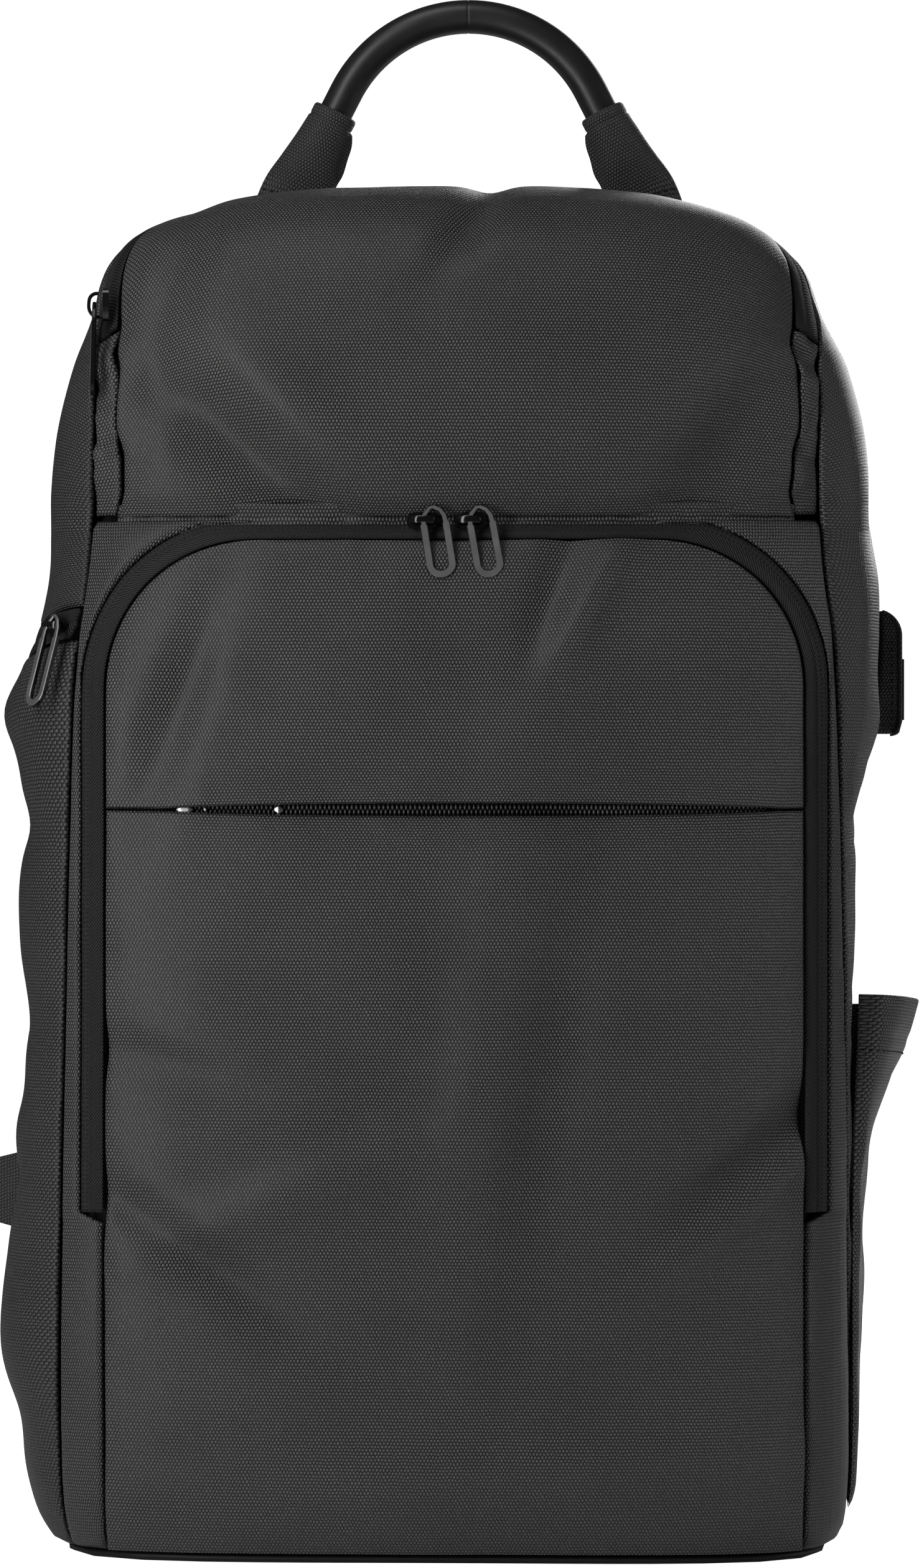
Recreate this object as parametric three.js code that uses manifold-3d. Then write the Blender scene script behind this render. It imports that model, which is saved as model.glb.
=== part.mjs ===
// Laptop backpack: a soft boxy bag with a round metal tube handle, an arched front compartment,
// a slit pocket across the front, a zip round the top, side pockets and two padded shoulder straps.
// Frame: millimetres, +Z up, +X to the right of the front, the front faces -Y, origin at the middle
// of the flat base. The bag is sewn from cloth panels that follow one soft outer skin.
import * as THREE from "three";
import { mergeVertices } from "three/addons/utils/BufferGeometryUtils.js";
import Module from "manifold-3d";

const wasm = await Module();
wasm.setup();

// Driving sizes
const CREASE_Z = 371;
const TOP_Z = 492;
const DOME_POWER = 2.9;
const FRONT_POWER = 4.4;
const BACK_POWER = 7;
const CLOTH = 1.8;
const SEAM = 0.6;
const BASE_THICK = 2.6;
const WALL_FOOT_Z = BASE_THICK + SEAM;
const BACK_PAD = 8;
const BACK_SEAM_Y = 66;
const TAPE_THICK = 1.2;
const TAPE_WIDE = 8.6;
const TAPE_SUNK = 0.5;
const SLIT_Z = 267.5;
const ARCH = { half: 124, radius: 52, top: 363, end: 123, cap: 369 };
const CROWN = { half: 121, radius: 50, from: 42, to: 84, perMm: 0.62, end: 38 };
const LEFT_ZIP = { low: 320, high: 332, calm: 66, front: -62, run: 76, rise: 8, drop: 16 };
const HANDLE = { x: 1.4, y: 35, rise: 69.6, bend: 51, lean: 27, tube: 6.25, foot: 11 };
const SLEEVE_CLEAR = 0.4;
const BOTTLE = { front: -34, back: 50, thick: 1.5 };
const WEBBING = { wide: 25, thick: 1.6 };
const PULL = { wide: 10.4, thick: 1.8, leg: 2.3 };

// Sections of the soft body, one row per height: half width on each side, front and back depth.
const SECTIONS = [
  { z: 0, left: 143, right: 133.5, front: 73, back: 71 },
  { z: 14, left: 152.5, right: 140, front: 79, back: 77 },
  { z: 42, left: 159.5, right: 142, front: 82, back: 79 },
  { z: 76, left: 166.5, right: 142, front: 83, back: 79 },
  { z: 111, left: 163.5, right: 142, front: 83, back: 79 },
  { z: 152, left: 161, right: 142.5, front: 83, back: 79 },
  { z: 193, left: 158, right: 143.5, front: 82.5, back: 79 },
  { z: 235, left: 159.5, right: 143.5, front: 82, back: 79 },
  { z: 262, left: 158, right: 145, front: 81.5, back: 79 },
  { z: 290, left: 160.5, right: 147.8, front: 81, back: 79 },
  { z: 304, left: 162, right: 149.5, front: 80, back: 79 },
  { z: 318, left: 158, right: 151.5, front: 79, back: 79 },
  { z: 332, left: 152.5, right: 152.3, front: 77.5, back: 79 },
  { z: 350, left: 149.8, right: 152, front: 75, back: 79 },
  { z: 364, left: 149.6, right: 150.2, front: 70.5, back: 79 },
  { z: 371, left: 149.2, right: 149.6, front: 67, back: 79 },
  { z: 381, left: 148.6, right: 149, front: 70.5, back: 79 },
  { z: 398, left: 147.3, right: 148, front: 73.5, back: 79 },
  { z: 428, left: 145.5, right: 146, front: 74, back: 78 },
  { z: 446, left: 147, right: 144.6, front: 74, back: 78 },
  { z: 465, left: 159.6, right: 154, front: 74, back: 78 },
  { z: 480, left: 174, right: 163, front: 74, back: 78 },
  { z: 492, left: 186, right: 170, front: 74, back: 78 },
];

// Front seam between the gusset and the side, one row per height: how far outside the front panel.
const SIDE_SEAM = [
  { z: 0, past: 13 },
  { z: 20, past: 16.5 },
  { z: 60, past: 17 },
  { z: 200, past: 15 },
  { z: 318, past: 11.5 },
  { z: 353, past: 7 },
  { z: 371, past: 6 },
];

// Folds and dents of the cloth, one row each: middle, reach along and across, turn in degrees,
// and height off the skin (minus is a dent).
const FRONT_FOLDS = [
  { x: 14, z: 190, along: 120, across: 16, turn: 84, up: 1.6 },
  { x: 38, z: 180, along: 110, across: 13, turn: 80, up: -1.4 },
  { x: -60, z: 130, along: 60, across: 10, turn: 20, up: 1.5 },
  { x: -95, z: 112, along: 45, across: 8, turn: -35, up: -2.0 },
  { x: 104, z: 140, along: 48, across: 9, turn: 42, up: -2.4 },
  { x: 92, z: 122, along: 46, across: 9, turn: 40, up: 1.8 },
  { x: -106, z: 178, along: 40, across: 9, turn: -14, up: -1.6 },
  { x: 48, z: 338, along: 26, across: 7, turn: 62, up: 1.8 },
  { x: 34, z: 344, along: 24, across: 6, turn: 70, up: -1.4 },
  { x: -98, z: 305, along: 40, across: 9, turn: 70, up: -1.6 },
  { x: 0, z: 30, along: 120, across: 14, turn: 4, up: 1.2 },
];
const CROWN_FOLDS = [
  { x: -80, z: 398, along: 46, across: 13, turn: -42, up: -3.4 },
  { x: -58, z: 412, along: 44, across: 12, turn: -40, up: 2.0 },
  { x: 100, z: 402, along: 42, across: 14, turn: 56, up: -2.6 },
  { x: 6, z: 480, along: 20, across: 7, turn: 62, up: -1.6 },
  { x: -104, z: 440, along: 50, across: 10, turn: 78, up: -1.4 },
  { x: 20, z: 420, along: 120, across: 22, turn: 2, up: 1.8 },
];
const SIDE_FOLDS = [
  { x: -20, z: 300, along: 60, across: 12, turn: -10, up: 1.5 },
  { x: 0, z: 268, along: 70, across: 9, turn: 8, up: -2.2 },
  { x: -15, z: 205, along: 60, across: 12, turn: 30, up: -1.8 },
  { x: 10, z: 178, along: 60, across: 10, turn: 12, up: -2.2 },
  { x: -10, z: 120, along: 70, across: 12, turn: -24, up: -2.0 },
  { x: 0, z: 44, along: 70, across: 11, turn: -8, up: -1.8 },
  { x: 10, z: 395, along: 60, across: 12, turn: 40, up: -1.4 },
];

// Colours and finish of each piece
const FINISH = {
  cloth: new THREE.MeshStandardMaterial({ color: 0x3b3a3a, roughness: 0.82, metalness: 0 }),
  tape: new THREE.MeshStandardMaterial({ color: 0x2b2b2d, roughness: 0.85, metalness: 0 }),
  coil: new THREE.MeshStandardMaterial({ color: 0x121214, roughness: 0.35, metalness: 0 }),
  gloss: new THREE.MeshStandardMaterial({ color: 0x161618, roughness: 0.28, metalness: 0.4 }),
  satin: new THREE.MeshStandardMaterial({ color: 0x3c3c40, roughness: 0.38, metalness: 0.6 }),
  steel: new THREE.MeshStandardMaterial({ color: 0xa8a8aa, roughness: 0.35, metalness: 0.9 }),
  tube: new THREE.MeshStandardMaterial({ color: 0x202023, roughness: 0.5, metalness: 0.5 }),
  webbing: new THREE.MeshStandardMaterial({ color: 0x1c1c1e, roughness: 0.9, metalness: 0 }),
  plastic: new THREE.MeshStandardMaterial({ color: 0x17171a, roughness: 0.5, metalness: 0 }),
  mesh: new THREE.MeshStandardMaterial({ color: 0x222224, roughness: 0.95, metalness: 0 }),
};

const rad = THREE.MathUtils.degToRad;
const lerp = THREE.MathUtils.lerp;
const clamp = THREE.MathUtils.clamp;
const steps = (from, to, count) =>
  Array.from({ length: count + 1 }, (_, i) => lerp(from, to, i / count));

// Smooth reading of one column of a table whose rows are in order of z.
function read(table, column, z) {
  const last = table.length - 1;
  if (z <= table[0].z) return table[0][column];
  if (z >= table[last].z) return table[last][column];
  let i = 0;
  while (table[i + 1].z < z) i += 1;
  const [a, b, c, d] = [Math.max(i - 1, 0), i, i + 1, Math.min(i + 2, last)].map((k) => table[k]);
  const width = c.z - b.z;
  const t = (z - b.z) / width;
  const into = ((c[column] - a[column]) / (c.z - a.z)) * width;
  const out = ((d[column] - b[column]) / (d.z - b.z)) * width;
  const t2 = t * t;
  const t3 = t2 * t;
  return (
    (2 * t3 - 3 * t2 + 1) * b[column] +
    (t3 - 2 * t2 + t) * into +
    (-2 * t3 + 3 * t2) * c[column] +
    (t3 - t2) * out
  );
}

// Less than zero inside the soft body, zero on its skin.
function skin(x, y, z) {
  const half = read(SECTIONS, x < 0 ? "left" : "right", z);
  const deep = read(SECTIONS, y < 0 ? "front" : "back", z);
  const power = y < 0 ? FRONT_POWER : BACK_POWER;
  const flat = (Math.abs(x / half) ** power + Math.abs(y / deep) ** power) ** (1 / power);
  const rise = Math.max(0, (z - CREASE_Z) / (TOP_Z - CREASE_Z));
  return flat ** DOME_POWER + rise ** DOME_POWER - 1;
}

// Where the ray from an inner point leaves the skin.
function reach(from, way, far = 320) {
  let near = 0;
  let most = far;
  for (let i = 0; i < 34; i += 1) {
    const mid = (near + most) / 2;
    const inside = skin(from[0] + way[0] * mid, from[1] + way[1] * mid, from[2] + way[2] * mid) < 0;
    if (inside) near = mid;
    else most = mid;
  }
  return new THREE.Vector3(...from.map((v, i) => v + way[i] * near));
}

// Outward direction of the skin.
function outward(p) {
  const e = 0.4;
  const z = Math.max(p.z, 14);
  return new THREE.Vector3(
    skin(p.x + e, p.y, z) - skin(p.x - e, p.y, z),
    skin(p.x, p.y + e, z) - skin(p.x, p.y - e, z),
    skin(p.x, p.y, z + e) - skin(p.x, p.y, z - e),
  ).normalize();
}

const onFront = (x, z) => reach([x, 0, z], [0, -1, 0]);
const onBack = (x, z) => reach([x, 0, z], [0, 1, 0]);

// A point of the crown: x across, angle from the crease up and over in degrees.
function onCrown(x, angle) {
  const way = [0, -74 * Math.cos(rad(angle)), (TOP_Z - CREASE_Z) * Math.sin(rad(angle))];
  const size = Math.hypot(...way);
  const start = [x, 0, CREASE_Z];
  return reach(start, way.map((v) => v / size));
}

// Height of the folds at a place on a panel.
function folded(table, x, z) {
  let sum = 0;
  for (const row of table) {
    const c = Math.cos(rad(row.turn));
    const s = Math.sin(rad(row.turn));
    const along = ((x - row.x) * c + (z - row.z) * s) / row.along;
    const across = (-(x - row.x) * s + (z - row.z) * c) / row.across;
    sum += row.up * Math.exp(-along * along - across * across);
  }
  return sum;
}

// A closed sheet from a grid of places: each place gives its point, outward direction and thickness.
function sheet(grid) {
  const rows = grid.length;
  const cols = grid[0].length;
  const outer = grid.flat().map((g) => g.p);
  const inner = grid.flat().map((g) => g.p.clone().addScaledVector(g.n, -g.t));
  const points = [...outer, ...inner];
  const under = outer.length;
  const faces = [];
  const quad = (a, b, c, d) => faces.push(a, b, c, a, c, d);
  const at = (r, c) => r * cols + c;
  for (let r = 0; r + 1 < rows; r += 1) {
    for (let c = 0; c + 1 < cols; c += 1) {
      quad(at(r, c), at(r, c + 1), at(r + 1, c + 1), at(r + 1, c));
      quad(under + at(r + 1, c), under + at(r + 1, c + 1), under + at(r, c + 1), under + at(r, c));
    }
  }
  const rim = [
    ...steps(0, cols - 1, cols - 1).map((c) => at(0, c)),
    ...steps(1, rows - 1, Math.max(rows - 2, 1)).map((r) => at(r, cols - 1)),
    ...steps(cols - 2, 0, Math.max(cols - 2, 1)).map((c) => at(rows - 1, c)),
    ...steps(rows - 2, 1, Math.max(rows - 3, 1)).map((r) => at(r, 0)),
  ].map(Math.round);
  const ring = rim.filter((v, i) => i === 0 || rim.indexOf(v) === i);
  ring.forEach((a, i) => {
    const b = ring[(i + 1) % ring.length];
    quad(b, a, under + a, under + b);
  });
  return solid(points, faces);
}

// A mesh geometry that always faces out.
function solid(points, faces) {
  const g = new THREE.BufferGeometry().setFromPoints(points);
  let volume = 0;
  for (let i = 0; i < faces.length; i += 3) {
    const [a, b, c] = [points[faces[i]], points[faces[i + 1]], points[faces[i + 2]]];
    volume += a.dot(new THREE.Vector3().crossVectors(b, c));
  }
  const facing = volume > 0 ? faces : faces.map((_, i) => faces[i - (i % 3) + 2 - (i % 3)]);
  g.setIndex(facing);
  return g;
}

// A grid over two lists, each cell point made by a function that returns point, direction, thickness.
const grid = (rows, cols, make) => rows.map((r, i) => cols.map((c, j) => make(r, c, i, j)));
const place = (p, thick, off = 0) => {
  const n = outward(p);
  return { p: p.clone().addScaledVector(n, off), n, t: thick };
};

const group = new THREE.Group();
function add(name, geometry, finish) {
  const mesh = new THREE.Mesh(geometry, FINISH[finish].clone());
  mesh.name = name;
  group.add(mesh);
  return mesh;
}

// Fullness of a panel: zero at its edges and full in the middle.
const pillow = (u, v, height) =>
  height * Math.sqrt(Math.max(0, (1 - u ** 6) * (1 - (2 * v - 1) ** 6)));

// Front panels
function archHalf(z, offset) {
  const r = ARCH.radius + offset;
  const over = z - (ARCH.top + offset - r);
  const half = ARCH.half + offset;
  return over <= 0 ? half : half - r + Math.sqrt(Math.max(0, r * r - over * over));
}
const ARCH_TURN = steps(0, 90, 7);
const archCorner = (offset) =>
  ARCH_TURN.map((a) => ARCH.top - ARCH.radius + (ARCH.radius + offset) * Math.sin(rad(a)));

const archTurn = (offset, cap) =>
  archCorner(offset).map((z) => [archHalf(z, offset), Math.min(z, cap)]);

// Opening of the slit pocket at a place across.
const slitGap = (x) => SEAM / 2 + 1.9 * Math.max(0, 1 - ((x - 6) / 108) ** 2) ** 0.7;

const ACROSS = steps(-1, 1, 14).map((u) => Math.sign(u) * Math.abs(u) ** 0.85);

function frontUpper() {
  const first = SLIT_Z;
  const shoulder = ARCH.top - ARCH.radius;
  const heights = [first, lerp(first, shoulder, 0.5), ...archCorner(0)];
  return grid(heights, ACROSS, (z, u, i) => {
    const x = u * archHalf(z, 0);
    const low = i === 0 ? slitGap(x) : 0;
    const v = (z - first) / (ARCH.top - first);
    const p = onFront(x, z + low);
    return place(p, CLOTH, 0.3 + pillow(u, 0.5 + v / 2, 1.6) + folded(FRONT_FOLDS, x, z));
  });
}

function frontLower() {
  const heights = [WALL_FOOT_Z, 9, 20, 45, 72, 99, 123, 150, 178, 206, 234, 254, SLIT_Z];
  return grid(heights, ACROSS, (z, u, i) => {
    const x = u * ARCH.half;
    const low = i === heights.length - 1 ? slitGap(x) : 0;
    const v = (z - WALL_FOOT_Z) / (SLIT_Z - WALL_FOOT_Z);
    const p = onFront(x, z - low);
    return place(p, CLOTH, 0.3 + pillow(u, v, 1.6) + folded(FRONT_FOLDS, x, z));
  });
}

// Points of the arch at an offset outside the front panel, from the lower left to the lower right.
const ARCH_SIDE = steps(ARCH.end + 1.6, ARCH.top - ARCH.radius - 23, 6);
const ARCH_TOP = steps(-1, 1, 8).slice(1, -1);
function archPath(offset) {
  const side = ARCH_SIDE.map((z) => [ARCH.half + offset, z]);
  const turn = archTurn(offset, ARCH.cap);
  const left = [...side, ...turn].map(([x, z]) => [-x, z]);
  const over = Math.min(ARCH.top + offset, ARCH.cap);
  const top = ARCH_TOP.map((u) => [u * (ARCH.half - ARCH.radius), over]);
  const right = [...side, ...turn].reverse();
  return [...left, ...top, ...right];
}

function archTape() {
  const lines = [SEAM, TAPE_WIDE / 2, TAPE_WIDE].map(archPath);
  const cells = lines[0].map((_, k) => lines.map((line) => {
    const [x, z] = line[k];
    return place(onFront(x, z), TAPE_THICK, -TAPE_SUNK);
  }));
  return cells;
}

const seamX = (z) => ARCH.half + read(SIDE_SEAM, "past", z);

// Gusset of the front compartment on one side: outside the arch, up to the crease.
function frontGusset(side) {
  const gap = TAPE_WIDE + SEAM;
  const low = [WALL_FOOT_Z, 12, 35, 64, 94, ARCH.end];
  const outX = (z) => seamX(z) - SEAM / 2;
  const cells = low.map((z) => [[ARCH.half + SEAM, z], [outX(z), z]]);
  const straight = ARCH_SIDE.map((z) => [ARCH.half + gap, z]);
  const roof = CREASE_Z - 0.4;
  const bends = 3;
  for (const [x, z] of straight) cells.push([[x, z], [outX(z), z]]);
  archTurn(gap, ARCH.cap + SEAM).forEach(([x, z], k) => {
    const outZ = lerp(straight[straight.length - 1][1] + 22, roof, clamp(k / bends, 0, 1));
    const inward = clamp((k - bends) / (ARCH_TURN.length - 1 - bends), 0, 1);
    cells.push([[x, z], [lerp(outX(outZ), ARCH.half - ARCH.radius, inward), outZ]]);
  });
  return cells.map(([inner, outer]) =>
    steps(0, 1, 2).map((v) => {
      const x = lerp(inner[0], outer[0], v);
      return place(onFront(side * x, lerp(inner[1], outer[1], v)), CLOTH);
    }));
}

// Crown: the panel over the top of the bag, with a zip round its edge
function crownHalf(angle, offset) {
  const turn = (angle - CROWN.from) / (CROWN.to + offset * CROWN.perMm - CROWN.from);
  const r = CROWN.radius + offset;
  const half = CROWN.half + offset;
  return turn <= 0 ? half : half - r + r * Math.sqrt(Math.max(0, 1 - turn * turn));
}
const CROWN_TURN = steps(0, 90, 7);
const crownCorner = (offset) =>
  CROWN_TURN.map((a) => CROWN.from + (CROWN.to + offset * CROWN.perMm - CROWN.from) * Math.sin(rad(a)));

function crownPanel() {
  const angles = [0.3, 4, 10, 18, 26, 34, ...crownCorner(0)];
  const across = steps(-1, 1, 16).map((u) => Math.sign(u) * Math.abs(u) ** 0.85);
  return grid(angles, across, (angle, u) => {
    const x = u * crownHalf(angle, 0);
    const p = onCrown(x, angle);
    const v = angle / CROWN.to;
    return place(p, CLOTH, pillow(u, v, 1.8) + folded(CROWN_FOLDS, x, p.z));
  });
}

// Points along the zip of the crown at an offset, from the left end over the top to the right end.
function crownPath(offset, low) {
  const turn = crownCorner(offset).map((a) => [crownHalf(a, offset), a]);
  const side = [...low.map((a) => [CROWN.half + offset, a]), ...turn];
  const top = steps(-1, 1, 8).slice(1, -1);
  const over = CROWN.to + offset * CROWN.perMm;
  const middle = top.map((u) => [u * (CROWN.half - CROWN.radius), over]);
  return [...side.map(([x, a]) => [-x, a]), ...middle, ...[...side].reverse()];
}

function crownTape() {
  const lines = [SEAM, TAPE_WIDE / 2, TAPE_WIDE].map((o) => crownPath(o, [CROWN.end]));
  return lines[0].map((_, k) => lines.map((line) => place(onCrown(...line[k]), TAPE_THICK, -TAPE_SUNK)));
}

function crownStrip(side) {
  const angles = [0.6, 6, 14, 22, 30, CROWN.end - 0.6];
  const widths = [SEAM, TAPE_WIDE / 2, TAPE_WIDE];
  return grid(angles, widths, (angle, offset, i, j) => {
    const crumple = j === 1 ? 0.9 * Math.sin(i * 2.4) : 0;
    return place(onCrown(side * (CROWN.half + offset), angle), CLOTH, -0.2 + crumple);
  });
}

// Sides and top gusset: one band from the front seam to the back seam.
function zipTilt(y) {
  return LEFT_ZIP.rise - LEFT_ZIP.drop * clamp((y - LEFT_ZIP.front) / LEFT_ZIP.run, 0, 1);
}
const BAND = [0, 0.06, 0.15, 0.28, 0.46, 0.66, 0.85, 1];
function bandRow(front, back, thick, fold, tilt = 0) {
  const across = BAND;
  const hub = 372;
  const wide = CROWN.half - CROWN.radius;
  return across.map((v) => {
    const y = lerp(front.y, back, v);
    const low = front.z < hub;
    const level = front.z + tilt * (zipTilt(y) - zipTilt(front.y));
    const from = low ? [0, y, level] : [clamp(front.x, -wide, wide), y, hub];
    const way = low ? [Math.sign(front.x), 0, 0] : [front.x - from[0], 0, front.z - hub];
    const size = Math.hypot(...way);
    const p = reach(from, way.map((w) => w / size));
    const off = fold ? folded(SIDE_FOLDS, y, p.z) * Math.sin(Math.PI * v) : 0;
    return place(p, thick, off);
  });
}
const bandFront = (side, z) => onFront(side * (seamX(z) + SEAM), z);

function sideBand(side, heights, crown) {
  const back = BACK_SEAM_Y - SEAM;
  const rows = heights.map(({ z, tilt }) =>
    bandRow(bandFront(side, z + tilt * LEFT_ZIP.rise), back, CLOTH, true, tilt));
  const gap = TAPE_WIDE + SEAM;
  const angles = crown ? [3, 12, 24, 36, ...crownCorner(gap)] : [];
  for (const angle of angles) {
    const front = onCrown(side * crownHalf(angle, gap), angle);
    rows.push(bandRow(front, back, CLOTH, true));
  }
  return rows;
}

function topGusset() {
  const gap = TAPE_WIDE + SEAM;
  const wide = CROWN.half - CROWN.radius - SEAM;
  const over = CROWN.to + gap * CROWN.perMm;
  return steps(-wide, wide, 10).map((x) =>
    bandRow(onCrown(x, over), BACK_SEAM_Y - SEAM, CLOTH, false));
}

// Back panel: padded, bounded by the back seam
function backPanel() {
  const slice = BACK_SEAM_Y + SEAM;
  const edgeX = (side, z) => reach([0, slice, z], [side, 0, 0]).x;
  const edgeZ = (x) => reach([x, slice, 100], [0, 0, 1], 400).z;
  const heights = [WALL_FOOT_Z, 14, 45, 100, 160, 220, 280, 335, 380, 405, 422, 434, 442];
  const top = heights[heights.length - 1];
  const across = [-1, -0.97, -0.88, -0.72, -0.5, -0.25, 0, 0.25, 0.5, 0.72, 0.88, 0.97, 1];
  return grid(heights, across, (z, u) => {
    const side = u < 0 ? -1 : 1;
    const x = Math.abs(u) * edgeX(side, z);
    const last = Math.abs(u) * edgeX(side, top);
    const lift = clamp((z - 335) / (top - 335), 0, 1) ** 2;
    const height = z + lift * (edgeZ(last) - top);
    const p = onBack(x, height);
    const v = z / top;
    return place(p, lerp(2, BACK_PAD, Math.sqrt(Math.max(0, 1 - u ** 8))), pillow(u, v, 2));
  });
}

// Base: a flat plate with a rounded edge
function basePlate() {
  const around = 48;
  const ring = (z, inset) =>
    steps(0, 360, around).slice(0, around).map((a) => {
      const p = reach([0, 0, 0], [Math.sin(rad(a)), -Math.cos(rad(a)), 0]);
      const size = Math.hypot(p.x, p.y);
      return new THREE.Vector3(p.x * (1 - inset / size), p.y * (1 - inset / size), z);
    });
  const levels = [ring(0, 3), ring(0.8, 1.2), ring(BASE_THICK, 1)];
  const points = levels.flat();
  const low = points.length;
  points.push(new THREE.Vector3(0, 0, 0), new THREE.Vector3(0, 0, BASE_THICK));
  const faces = [];
  for (let i = 0; i < around; i += 1) {
    const j = (i + 1) % around;
    for (let k = 0; k < levels.length - 1; k += 1) {
      const a = k * around;
      faces.push(a + i, a + j, a + around + j, a + i, a + around + j, a + around + i);
    }
    const top = (levels.length - 1) * around;
    faces.push(low, j, i, low + 1, top + i, top + j);
  }
  return solid(points, faces);
}

// Round handle tube and the cloth sleeves that hold its ends
const HANDLE_FOOT = TOP_Z + HANDLE.foot;
function handlePath(end) {
  const { x, y, rise, bend, lean } = HANDLE;
  const top = TOP_Z + rise;
  const start = 90 - lean;
  const arc = steps(-start, start, 14).map((a) =>
    new THREE.Vector3(x + bend * Math.sin(rad(a)), y, top - bend + bend * Math.cos(rad(a))));
  const foot = (p, side) => {
    const drop = p.z - end;
    return new THREE.Vector3(p.x + side * drop * Math.tan(rad(lean)), y, end);
  };
  return [foot(arc[0], -1), ...arc, foot(arc[arc.length - 1], 1)];
}

// A round bar along points that lie in one upright plane facing the front.
function bar(path, radius, around) {
  const rings = path.map((p, i) => {
    const a = path[Math.max(i - 1, 0)];
    const b = path[Math.min(i + 1, path.length - 1)];
    const way = new THREE.Vector3().subVectors(b, a).normalize();
    const out = new THREE.Vector3(0, 1, 0).cross(way).normalize();
    return steps(0, 360, around).slice(0, around).map((t) =>
      p.clone()
        .addScaledVector(out, radius * Math.cos(rad(t)))
        .addScaledVector(new THREE.Vector3(0, 1, 0), radius * Math.sin(rad(t))));
  });
  return loft(rings);
}

// Closed loft through rings of equal count.
function loft(rings) {
  const n = rings[0].length;
  const points = rings.flat();
  const faces = [];
  const middle = (ring) => ring.reduce((s, p) => s.add(p), new THREE.Vector3()).divideScalar(ring.length);
  const first = points.push(middle(rings[0])) - 1;
  const last = points.push(middle(rings[rings.length - 1])) - 1;
  for (let k = 0; k < rings.length - 1; k += 1) {
    for (let i = 0; i < n; i += 1) {
      const j = (i + 1) % n;
      const a = k * n;
      faces.push(a + i, a + j, a + n + j, a + i, a + n + j, a + n + i);
    }
  }
  const top = (rings.length - 1) * n;
  for (let i = 0; i < n; i += 1) {
    const j = (i + 1) % n;
    faces.push(first, j, i, last, top + i, top + j);
  }
  return solid(points, faces);
}

// Rounded rectangle ring in its own plane.
function rounded(centre, across, deep, halfWide, halfDeep, corner) {
  const r = Math.min(corner, halfWide * 0.98, halfDeep * 0.98);
  const points = [];
  for (const [sx, sy, from] of [[1, 1, 0], [-1, 1, 90], [-1, -1, 180], [1, -1, 270]]) {
    for (const a of [0, 45, 90]) {
      const x = sx * (halfWide - r) + r * Math.cos(rad(from + a));
      const y = sy * (halfDeep - r) + r * Math.sin(rad(from + a));
      points.push(centre.clone().addScaledVector(across, x).addScaledVector(deep, y));
    }
  }
  return points;
}

// Sleeve sections, one row each: distance up the leg from the seat, half width, half depth,
// and how far the middle sits toward the outer side.
const SLEEVE = [
  { up: 0, half: 15, deep: 3.2, out: -2 },
  { up: 9, half: 13.6, deep: 5.2, out: -1.2 },
  { up: 18, half: 11.4, deep: 7.4, out: -0.5 },
  { up: 27, half: 9.2, deep: 8.4, out: 0 },
  { up: 41, half: 8.7, deep: 8.6, out: 0 },
];

function toManifold(geometry) {
  const bare = new THREE.BufferGeometry();
  const source = geometry.index ? geometry.toNonIndexed() : geometry;
  bare.setAttribute("position", source.getAttribute("position"));
  const merged = mergeVertices(bare, 1e-3);
  return new wasm.Manifold(
    new wasm.Mesh({
      numProp: 3,
      vertProperties: merged.attributes.position.array,
      triVerts: new Uint32Array(merged.index.array),
    }),
  );
}
function fromManifold(made) {
  const mesh = made.getMesh();
  const points = [];
  for (let i = 0; i < mesh.numVert; i += 1) {
    const at = i * mesh.numProp;
    points.push(new THREE.Vector3(...mesh.vertProperties.subarray(at, at + 3)));
  }
  return solid(points, [...mesh.triVerts]);
}

function sleeve(side) {
  const path = handlePath(HANDLE_FOOT);
  const end = side < 0 ? path[0] : path[path.length - 1];
  const up = new THREE.Vector3(-side * Math.sin(rad(HANDLE.lean)), 0, Math.cos(rad(HANDLE.lean)));
  const across = new THREE.Vector3(side * up.z, 0, Math.sin(rad(HANDLE.lean)));
  const deep = new THREE.Vector3(0, 1, 0);
  const seat = reach([end.x + side * 4, HANDLE.y, CREASE_Z + 29], [0, 0, 1], 150);
  const base = end.clone().addScaledVector(up, (seat.z + 2.2 - end.z) / up.z);
  const rings = SLEEVE.map((row, i) => {
    const level = i === 0 ? new THREE.Vector3(side, 0, -0.1).normalize() : across;
    const centre = base.clone().addScaledVector(up, row.up).addScaledVector(across, row.out);
    return rounded(centre, level, deep, row.half, row.deep, row.deep);
  });
  const body = toManifold(loft(rings));
  const hole = toManifold(bar(path, HANDLE.tube + SLEEVE_CLEAR, 16));
  return fromManifold(body.subtract(hole));
}

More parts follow.
